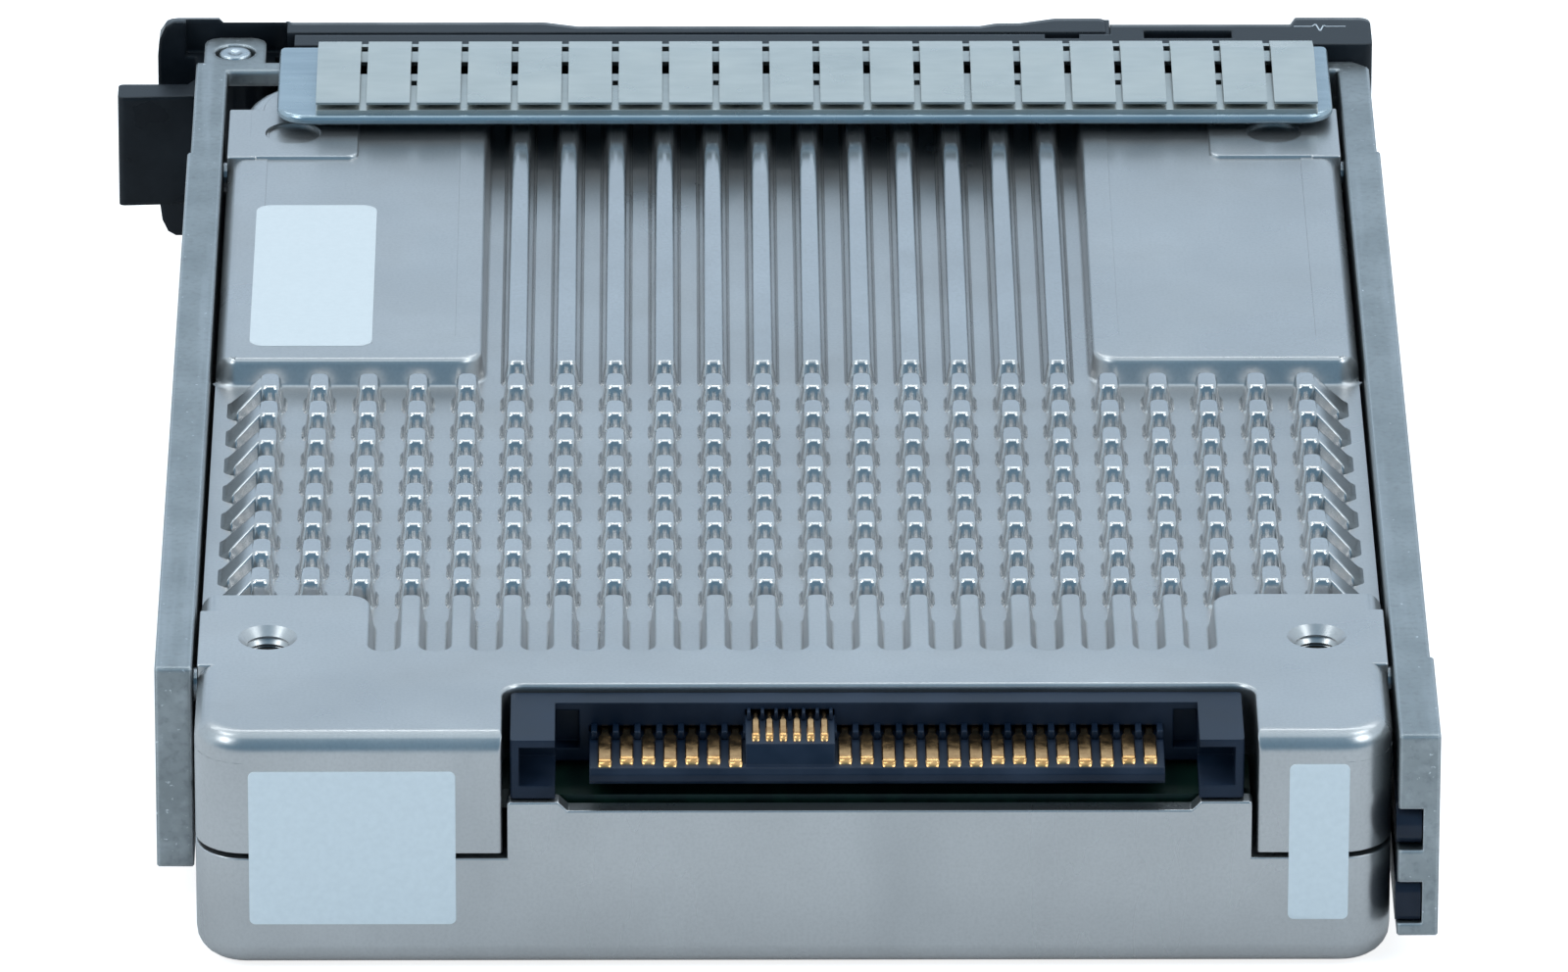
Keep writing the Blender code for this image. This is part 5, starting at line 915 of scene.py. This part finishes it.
def fins():
    """Set the pins and the long fins on the casting's floor."""
    pin = bar(PIN_LENGTH, FIN_TOP, FIN_DRAFT, FIN_HEIGHT)
    first_row = LONG_FIN_START - PIN_ROWS * PIN_PITCH
    outermost = columns(PIN_COLUMNS)[-1]
    arrayed("pins", pin, FIN_CASTING, (PIN_COLUMNS, PIN_ROWS), (FIN_PITCH, PIN_PITCH),
            (-outermost, first_row, FIN_FLOOR), FIXED)
    long_fin = bar(LENGTH - LONG_FIN_START - LONG_FIN_GAP, FIN_TOP, FIN_DRAFT, FIN_HEIGHT - PAD_DROP)
    arrayed("long_fins", long_fin, FIN_CASTING, (LONG_FINS, 1), (FIN_PITCH, 0.0),
            (columns(LONG_FINS)[0], LONG_FIN_START, FIN_FLOOR), FIXED)
    for side, label in ((-1, "left"), (1, "right")):
        corner = (side * outermost, first_row, FIN_FLOOR)
        arrayed(f"{label}_ridges", ridge(side), FIN_CASTING, (1, PIN_ROWS), (0.0, PIN_PITCH),
                corner, FIXED)


def ridge(side):
    """Make the ridge that runs from a pin's corner out to the side and falls as it goes."""
    edge = FIN_TOP / 2 - FIN_DRAFT / 2
    reach = edge + RIDGE_REACH
    right = [
        (edge - 0.3 * MM, 0.3 * MM, 0.0, "top"),
        (edge, 0.25 * MM, 0.2 * MM, "top"),
        (reach - 0.45 * MM, -0.95 * MM, 0.15 * MM, "top"),
        (reach, -0.6 * MM, 0.15 * MM, "top"),
        (reach, 1.4 * MM, 0.15 * MM, "top"),
        (edge, 2.1 * MM, 0.3 * MM, "top"),
        (edge - 0.3 * MM, 2.1 * MM, 0.0, "top"),
    ]
    corners = handed(right, side)
    height = FIN_HEIGHT - SINK / 4
    bm = bmesh.new()
    rings = []
    for depth, inset in quarter(EDGE_ROUND, 4) + [(height, -RIDGE_DRAFT), (height + SINK, -RIDGE_DRAFT)]:
        rings.append(ring(bm, offset_outline(corners, {"top": inset}, 3), height - depth))
    for lower_ring in rings:
        for vert in lower_ring:
            out = max(0.0, abs(vert.co.x) - edge)
            share = min(1.0, max(0.0, vert.co.z / height))
            vert.co.z -= RIDGE_SLOPE * out * share
    for upper, lower in zip(rings, rings[1:]):
        bridge(bm, lower, upper)
    cap(bm, rings[0])
    cap(bm, rings[-1])
    bmesh.ops.recalc_face_normals(bm, faces=bm.faces)
    return bm


def blade(sections):
    """Loft a flat metal tongue from sections of (y, half width, underside, thickness)."""
    rings = []
    for y, half, low, thick in sections:
        round_off = thick * 0.35
        shoulder = low + thick - round_off
        shape = [(-half, low), (half, low), (half, shoulder), (half - round_off, low + thick),
                 (-half + round_off, low + thick), (-half, shoulder)]
        rings.append([(x, y, z) for x, z in shape])
    return loft(rings)


def contact(tip, width, neck):
    """Make one contact, with a neck at its root and a tip that bends down."""
    thick = CONTACT_THICKNESS
    half = width / 2
    return blade([
        (CONTACT_ROOT, neck / 2, 0.0, thick),
        (NECK_END, neck / 2, 0.0, thick),
        (NECK_END - 0.4 * MM, half, 0.0, thick),
        (tip + 0.7 * MM, half, 0.0, thick),
        (tip + 0.38 * MM, half, -0.04 * MM, thick),
        (tip + 0.12 * MM, half * 0.94, -0.14 * MM, thick * 0.9),
        (tip, half * 0.8, -0.24 * MM, thick * 0.7),
    ])


def slabs(name, boxes, material, round_by):
    """Make several small blocks with rounded upper edges as one piece."""
    bm = bmesh.new()
    for low, high in boxes:
        corners = rectangle(low[0], low[1], high[0], high[1], (round_by,) * 4, "side")
        eased_block(bm, corners, high[2], low[2], round_by, 2, corner_steps=2)
    return finished(name, bm, material, FIXED, ())


def merged(name, bms, material, replaces):
    """Join several bmeshes, each with the places of its copies, into one piece."""
    whole = bmesh.new()
    for shape, places in bms:
        mesh = bpy.data.meshes.new(name)
        shape.to_mesh(mesh)
        shape.free()
        for place in places:
            start = len(whole.verts)
            whole.from_mesh(mesh)
            turned_to(whole, start, Matrix.Translation(place))
        bpy.data.meshes.remove(mesh)
    return finished(name, whole, material, FIXED, replaces)


def contacts():
    """Make the three groups of contacts and the ribs between them."""
    rows = ((SIGNAL_START, SIGNALS, LONG_SIGNALS), (POWER_START, POWERS, LONG_POWERS))
    groups = []
    for tip, is_long in ((LONG_TIP, True), (SHORT_TIP, False)):
        places = [(start + index * CONTACT_PITCH, 0.0, CONTACT_SEAT) for start, count, long_ones in rows
                  for index in range(count) if (index in long_ones) == is_long]
        groups.append((contact(tip, CONTACT_WIDTH, CONTACT_NECK), places))
    names = [name for name in NODES if name.startswith(("signal_contact", "power_contact"))]
    merged("edge_contacts", groups, GOLD, names)
    names = [name for name in NODES if name.startswith("auxiliary_contact")]
    places = [(AUXILIARY_START + index * AUXILIARY_PITCH, 0.0, KEY_SEAT) for index in range(AUXILIARIES)]
    merged("key_contacts", [(contact(AUXILIARY_TIP, AUXILIARY_WIDTH, AUXILIARY_WIDTH * 0.6), places)],
           GOLD, names)
    ribs = []
    for start, count, _ in rows:
        for index in range(count + 1):
            x = start + (index - 0.5) * CONTACT_PITCH
            ribs.append(rib(x, RIB_WIDTH, CONTACT_SEAT, RIB_LENGTH))
    for index in range(AUXILIARIES + 1):
        x = AUXILIARY_START + (index - 0.5) * AUXILIARY_PITCH
        ribs.append(rib(x, RIB_WIDTH * 0.55, KEY_SEAT, RIB_LENGTH * 0.7))
    slabs("contact_ribs", ribs, SOCKET_PLASTIC, RIB_ROUND)


def rib(x, width, seat, length):
    """Give the corners of one rib at the back of the tongue."""
    low = (x - width / 2, CONTACT_ROOT - length, seat - SINK)
    high = (x + width / 2, CONTACT_ROOT, seat + RIB_HEIGHT)
    return low, high


def folded(path, width, thickness):
    """Make a strip of sheet that follows a path of (y, z), with the given width in X."""
    rings = []
    half = width / 2
    for index, point in enumerate(path):
        before = Vector(path[max(index - 1, 0)])
        after = Vector(path[min(index + 1, len(path) - 1)])
        along = (after - before).normalized()
        normal = Vector((-along.y, along.x)) * thickness / 2
        upper = Vector(point) + normal
        lower = Vector(point) - normal
        rings.append([(-half, *upper), (half, *upper), (half, *lower), (-half, *lower)])
    return loft(rings)


def smooth_path(points, steps=4):
    """Draw a Catmull-Rom curve through points."""
    path = []
    ends = [points[0], *points, points[-1]]
    for first, second, third, fourth in zip(ends, ends[1:], ends[2:], ends[3:]):
        for step in range(steps):
            t = step / steps
            weights = (-t + 2 * t * t - t ** 3, 2 - 5 * t * t + 3 * t ** 3,
                       t + 4 * t * t - 3 * t ** 3, t ** 3 - t * t)
            corners = zip(first, second, third, fourth)
            path.append(tuple(sum(w * c for w, c in zip(weights, corner)) / 2 for corner in corners))
    path.append(points[-1])
    return path


def plate_and_fingers():
    """Make the sheet over the far end and the strip of springs on it."""
    top = PLATE_HIGH.z
    near = PLATE_LOW.y - TO_FRAME.y
    far = PLATE_HIGH.y - TO_FRAME.y
    bm = bmesh.new()
    radii = (PLATE_CORNER, PLATE_CORNER, PLATE_FAR_CORNER, PLATE_FAR_CORNER)
    corners = rectangle(PLATE_LOW.x, near, PLATE_HIGH.x, far, radii, "edge")
    levels = [(top - depth, {"edge": inset}) for depth, inset in quarter(PLATE_ROUND, 4)]
    underside = top - PLATE_GAUGE
    levels += [(underside + FINE_ROUND, {"edge": 0.0}), (underside, {"edge": FINE_ROUND})]
    terrace(bm, corners, levels)
    finished("shield", bm, PLATE_METAL, FIXED, ("shielding_plate",))

    seat = top + SHEET / 2
    path = [(y * MM, seat + SHEET + z * MM) for y, z in FINGER_PROFILE]
    finger = folded(smooth_path(path), FINGER_WIDTH, SHEET)
    first = FINGER_CENTRE - (FINGERS - 1) / 2 * FINGER_PITCH
    arrayed("fingers", finger, FINGER_METAL, (FINGERS, 1), (FINGER_PITCH, 0.0),
            (first, 0.0, 0.0), FIXED, ("spring_fingers",))

    bm = bmesh.new()
    low = first - FINGER_WIDTH / 2
    high = -low + 2 * FINGER_CENTRE
    corners = rectangle(low, STRIP_NEAR, high, STRIP_FAR, (STRIP_CORNER,) * 4, "edge")
    wells = []
    for index in range(FINGERS - 1):
        x = first + (index + 0.5) * FINGER_PITCH
        shapes = [(SLOT_NEAR, SLOT_FAR, SLOT_HALF), (SLOT_FAR + 1.7 * MM, SLOT_FAR + 2.5 * MM, SLOT_HALF)]
        if index % 2:
            shapes.append((SLOT_NEAR - 1.9 * MM, SLOT_NEAR - 1.1 * MM, SLOT_HALF * 0.6))
        for start, end, half in shapes:
            rim = [(x - half, start), (x + half, start), (x + half, end), (x - half, end)]
            wells.append([(rim, top + STRIP_RISE), (rim, top)])
    eased_block(bm, corners, top + STRIP_RISE, top - SINK / 4, STRIP_ROUND, 2, wells)
    finished("finger_strip", bm, FINGER_METAL, FIXED, ())


def labels():
    """Lay three blank labels, thin sheets with rounded corners: one on the left pad, two on the near face."""
    level = Matrix.Translation((0.0, 0.0, PAD_TOP - LABEL_THICKNESS / 2))
    upright = Matrix.Translation((0.0, FACE_BACK, 0.0)) @ Matrix.Rotation(math.pi / 2, 4, "X")
    # The near face labels take the lighter paper, painted light for the dim near face.
    for name, spot, corner, turn, paper in zip(
            ("pad_label", "seam_label", "side_label"), LABEL_SPOTS,
            (PAD_LABEL_CORNER, FRONT_LABEL_CORNER, FRONT_LABEL_CORNER),
            (level, upright, upright), (LABEL, FRONT_LABEL_PAINTED_LIGHTER, FRONT_LABEL_PAINTED_LIGHTER)):
        left, right, low, high = (value * MM for value in spot)
        bm = bmesh.new()
        corners = rectangle(left, low, right, high, (corner,) * 4, "edge")
        eased_block(bm, corners, LABEL_THICKNESS, -RECESS_DEPTH, LABEL_THICKNESS * 0.4, 2)
        turned_to(bm, 0, turn)
        finished(name, bm, paper, FIXED)


def lathe(name, profile, material, body, replaces, place, steps=48):
    """Turn a profile of (radius, height) about a vertical axis."""
    bm = bmesh.new()
    rings = [ring(bm, circle(0.0, 0.0, radius, steps), height) for radius, height in profile]
    for first, second in zip(rings, rings[1:]):
        bridge(bm, first, second)
    cap(bm, rings[0])
    cap(bm, rings[-1])
    turned_to(bm, 0, Matrix.Translation(place))
    return finished(name, bm, material, body, replaces)


def hinge_pin():
    """Make the pin's riveted head with its dimple."""
    low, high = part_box("pivot_pin")
    middle = (low + high) / 2 - TO_FRAME
    radius = (high.x - low.x) / 2
    top = high.z
    profile = [(radius, low.z), (radius, top - PIN_ROUND)]
    profile += [(radius - inset, top - depth) for depth, inset in reversed(quarter(PIN_ROUND, 4))]
    profile += [(reach, top - depth) for reach, depth in PIN_DIMPLE]
    lathe("pin", profile, SCREW_METAL, FIXED, ("pivot_pin",), (middle.x, middle.y, 0.0))


def screw_end(name, place, radius, top):
    """Make the dark end of a screw, with its socket, seen down a hole; its steel is darkened further as
    painted shade for the hole.
    """
    seat = top - SOCKET_DEPTH
    profile = [(radius, top - SCREW_END_LENGTH)]
    profile += [(radius - inset, top - depth) for depth, inset in reversed(quarter(SCREW_END_ROUND, 3))]
    profile += [(0.62 * radius, top), (0.6 * radius, top - 0.05 * MM), (0.56 * radius, top - 0.35 * MM),
                (0.3 * radius, seat), (0.02 * MM, seat)]
    lathe(name, profile, DARK_STEEL_WITH_HOLE_SHADE, FIXED, (), place)


def sunk_screws():
    """Set a screw end down each hole of the case's top."""
    for side, label in ((-1, "left"), (1, "right")):
        x = side * SCREW_X
        screw_end(f"{label}_far_screw", (x, FAR_SCREW, 0.0), FAR_END_RADIUS, TOP - FAR_END_SINK)
        screw_end(f"{label}_near_screw", (x, NEAR_SCREW, 0.0), NEAR_END_RADIUS, TOP - NEAR_END_SINK)


def lever_lip():
    """Add the thin lip at the lever's tip that closes most of the gap to the bezel."""
    front = BEZEL_HIGH.y - TO_FRAME.y - LIP_FRONT
    back = front - LIP_LENGTH
    root = LEVER_HIGH.x - SINK
    tip = LEVER_HIGH.x + LIP_REACH
    corners = rectangle(root, back, tip, front, (0.0, 0.02 * MM, 0.02 * MM, 0.0), "lip")
    bm = bmesh.new()
    top = LEVER_HIGH.z - LIP_DROP
    terrace(bm, corners, [(top, {"lip": 0.0}), (top - LIP_DEPTH, {"lip": 0.0})], (), 2)
    finished("lever_lip", bm, BEZEL_PLASTIC, "lever", ())


def light_pipes():
    """Make the two light pipes: bars with a rounded nose at the connector end."""
    for name, bulge in (("upper_light_pipe", 1.0), ("lower_light_pipe", 0.35)):
        low, high = (corner - TO_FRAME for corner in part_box(name))
        half = (high.z - low.z) / 2 + PIPE_SPREAD
        middle = (high.z + low.z) / 2
        nose = half * bulge
        side = [(high.y, middle - half)]
        for step in range(13):
            angle = math.pi * step / 12
            side.append((low.y + nose - nose * math.sin(angle), middle - half * math.cos(angle)))
        side.append((high.y, middle + half))
        bm = loft([[(x, y, z) for y, z in side] for x in (low.x - PIPE_SPREAD / 2, high.x + PIPE_SPREAD)])
        finished(name + "_nose", bm, PIPE_PLASTIC, FIXED, (name,))


def pulse_mark():
    """Make the thin activity mark on the lamp block: a level line with one beat in it."""
    height = BEZEL_HIGH.z + MARK_RISE
    bm = bmesh.new()
    for (x0, y0), (x1, y1) in zip(MARK_LINE, MARK_LINE[1:]):
        start = Vector((x0, y0)) * MM
        end = Vector((x1, y1)) * MM
        across = Vector((start.y - end.y, end.x - start.x)).normalized() * MARK_HALF
        loop = [start + across, start - across, end - across, end + across]
        bm.faces.new([bm.verts.new((point.x, point.y, height)) for point in loop])
    finished("pulse_mark", bm, MARK_INK, FIXED)


def environment():
    """Set the surroundings: bright behind and above, darker on the side that faces the front."""
    world = bpy.data.worlds.new("surroundings")
    bpy.context.scene.world = world
    world.use_nodes = True
    tree = world.node_tree
    place = add(tree, "ShaderNodeTexCoord").outputs["Generated"]
    split = add(tree, "ShaderNodeSeparateXYZ", {"Vector": place})
    share = add(tree, "ShaderNodeMapRange", {"From Min": -1.0, "From Max": 1.0, "Value": split.outputs["Y"]})
    tone = add(tree, "ShaderNodeValToRGB", {"Fac": share.outputs["Result"]})
    set_stops(tone, SKY_TONES)
    dim = tree.nodes["Background"]
    feed(tree, dim, {"Color": tone.outputs["Color"], "Strength": SKY_STRENGTH})
    white = add(tree, "ShaderNodeBackground", {"Color": (1.0, 1.0, 1.0)})
    path = add(tree, "ShaderNodeLightPath")
    either = add(tree, "ShaderNodeMixShader", {
        "Fac": path.outputs["Is Camera Ray"], 1: dim.outputs["Background"], 2: white.outputs["Background"]})
    feed(tree, tree.nodes["World Output"], {"Surface": either.outputs["Shader"]})


def floor_and_light():
    """Set the pale floor and the soft lamps."""
    environment()
    bm = bmesh.new()
    bmesh.ops.create_grid(bm, x_segments=1, y_segments=1, size=FLOOR_HALF)
    mesh = bpy.data.meshes.new("floor")
    bm.to_mesh(mesh)
    bm.free()
    floor = stood("floor", mesh)
    floor.location.z = -FLOOR_DROP
    pale = bpy.data.materials.new("floor_white")
    pale.use_nodes = True
    tree = pale.node_tree
    shader = tree.nodes["Principled BSDF"]
    feed(tree, shader, {"Base Color": FLOOR_COLOUR, "Roughness": 0.9, "Specular IOR Level": 0.0})
    glow = add(tree, "ShaderNodeEmission", {"Color": FLOOR_GLOW})
    lit = add(tree, "ShaderNodeAddShader", {0: shader.outputs["BSDF"], 1: glow.outputs["Emission"]})
    path = add(tree, "ShaderNodeLightPath").outputs
    seen = add(tree, "ShaderNodeMath", {0: path["Is Glossy Ray"], 1: MIRRORED_WHITE, 2: path["Is Camera Ray"]},
               operation="MULTIPLY_ADD")
    either = add(tree, "ShaderNodeMixShader", {
        "Fac": seen.outputs["Value"], 1: shader.outputs["BSDF"], 2: lit.outputs["Shader"]})
    feed(tree, tree.nodes["Material Output"], {"Surface": either.outputs["Shader"]})
    mesh.materials.append(pale)

    for name, place, wide, tall, power in LAMPS:
        lamp = bpy.data.lights.new(name, "AREA")
        lamp.shape = "RECTANGLE"
        lamp.size = wide
        lamp.size_y = tall
        lamp.energy = power
        lamp.color = LAMP_COLOUR
        holder = stood(name, lamp)
        holder.location = place
        holder.rotation_euler = (-Vector(place)).to_track_quat("-Z", "Y").to_euler()


def camera():
    """Place the camera as the photograph was taken."""
    yaw = CAMERA_YAW
    pitch = CAMERA_PITCH
    roll = CAMERA_ROLL
    forward = Vector((math.sin(yaw) * math.cos(pitch), math.cos(yaw) * math.cos(pitch), -math.sin(pitch)))
    level = Vector((math.cos(yaw), -math.sin(yaw), 0.0))
    upright = level.cross(forward)
    right = level * math.cos(roll) + upright * math.sin(roll)
    up = upright * math.cos(roll) - level * math.sin(roll)
    data = bpy.data.cameras.new("camera")
    data.sensor_width = CAMERA_SENSOR
    data.lens = CAMERA_LENS
    data.clip_start = 0.01
    data.clip_end = 20.0
    holder = stood("camera", data)
    turn = Matrix((right, up, -forward)).transposed().to_4x4()
    holder.matrix_world = Matrix.Translation(CAMERA_AIM + TO_FRAME - forward * CAMERA_DISTANCE) @ turn
    bpy.context.scene.camera = holder


def paint_frame():
    """Give every node of the frame that stays its material."""
    finishes = {
        "cover_case": CASTING,
        "carrier_frame": RAIL_METAL,
        "shielding_plate": PLATE_METAL,
        "spring_fingers": FINGER_METAL,
        "latch_spring": SCREW_METAL,
        "pivot_pin": SCREW_METAL,
        "bezel": BEZEL_PLASTIC,
        "lever": BEZEL_PLASTIC,
        "release_latch": BEZEL_PLASTIC,
        "connector_housing": SOCKET_PLASTIC,
        "lower_light_pipe": PIPE_PLASTIC,
        "upper_light_pipe": PIPE_PLASTIC,
        "circuit_board": BOARD,
        "thermal_pad": PAD_RUBBER,
    }
    for name, node in NODES.items():
        if name in finishes:
            material = finishes[name]
        elif "contact" in name:
            material = GOLD
        elif "screw" in name:
            material = SCREW_METAL
        else:
            material = CHIP_PLASTIC
        node.data.materials.clear()
        node.data.materials.append(material)


camera()
floor_and_light()
paint_frame()
finished("casting", casting_body(), CASTING, FIXED, ("finned_case",))
finished("cover", cover_body(), CASTING, FIXED, ("cover_case",))
fins()
contacts()
plate_and_fingers()
labels()
hinge_pin()
sunk_screws()
lever_lip()
pulse_mark()
light_pipes()
bpy.context.scene.view_settings.view_transform = "Standard"
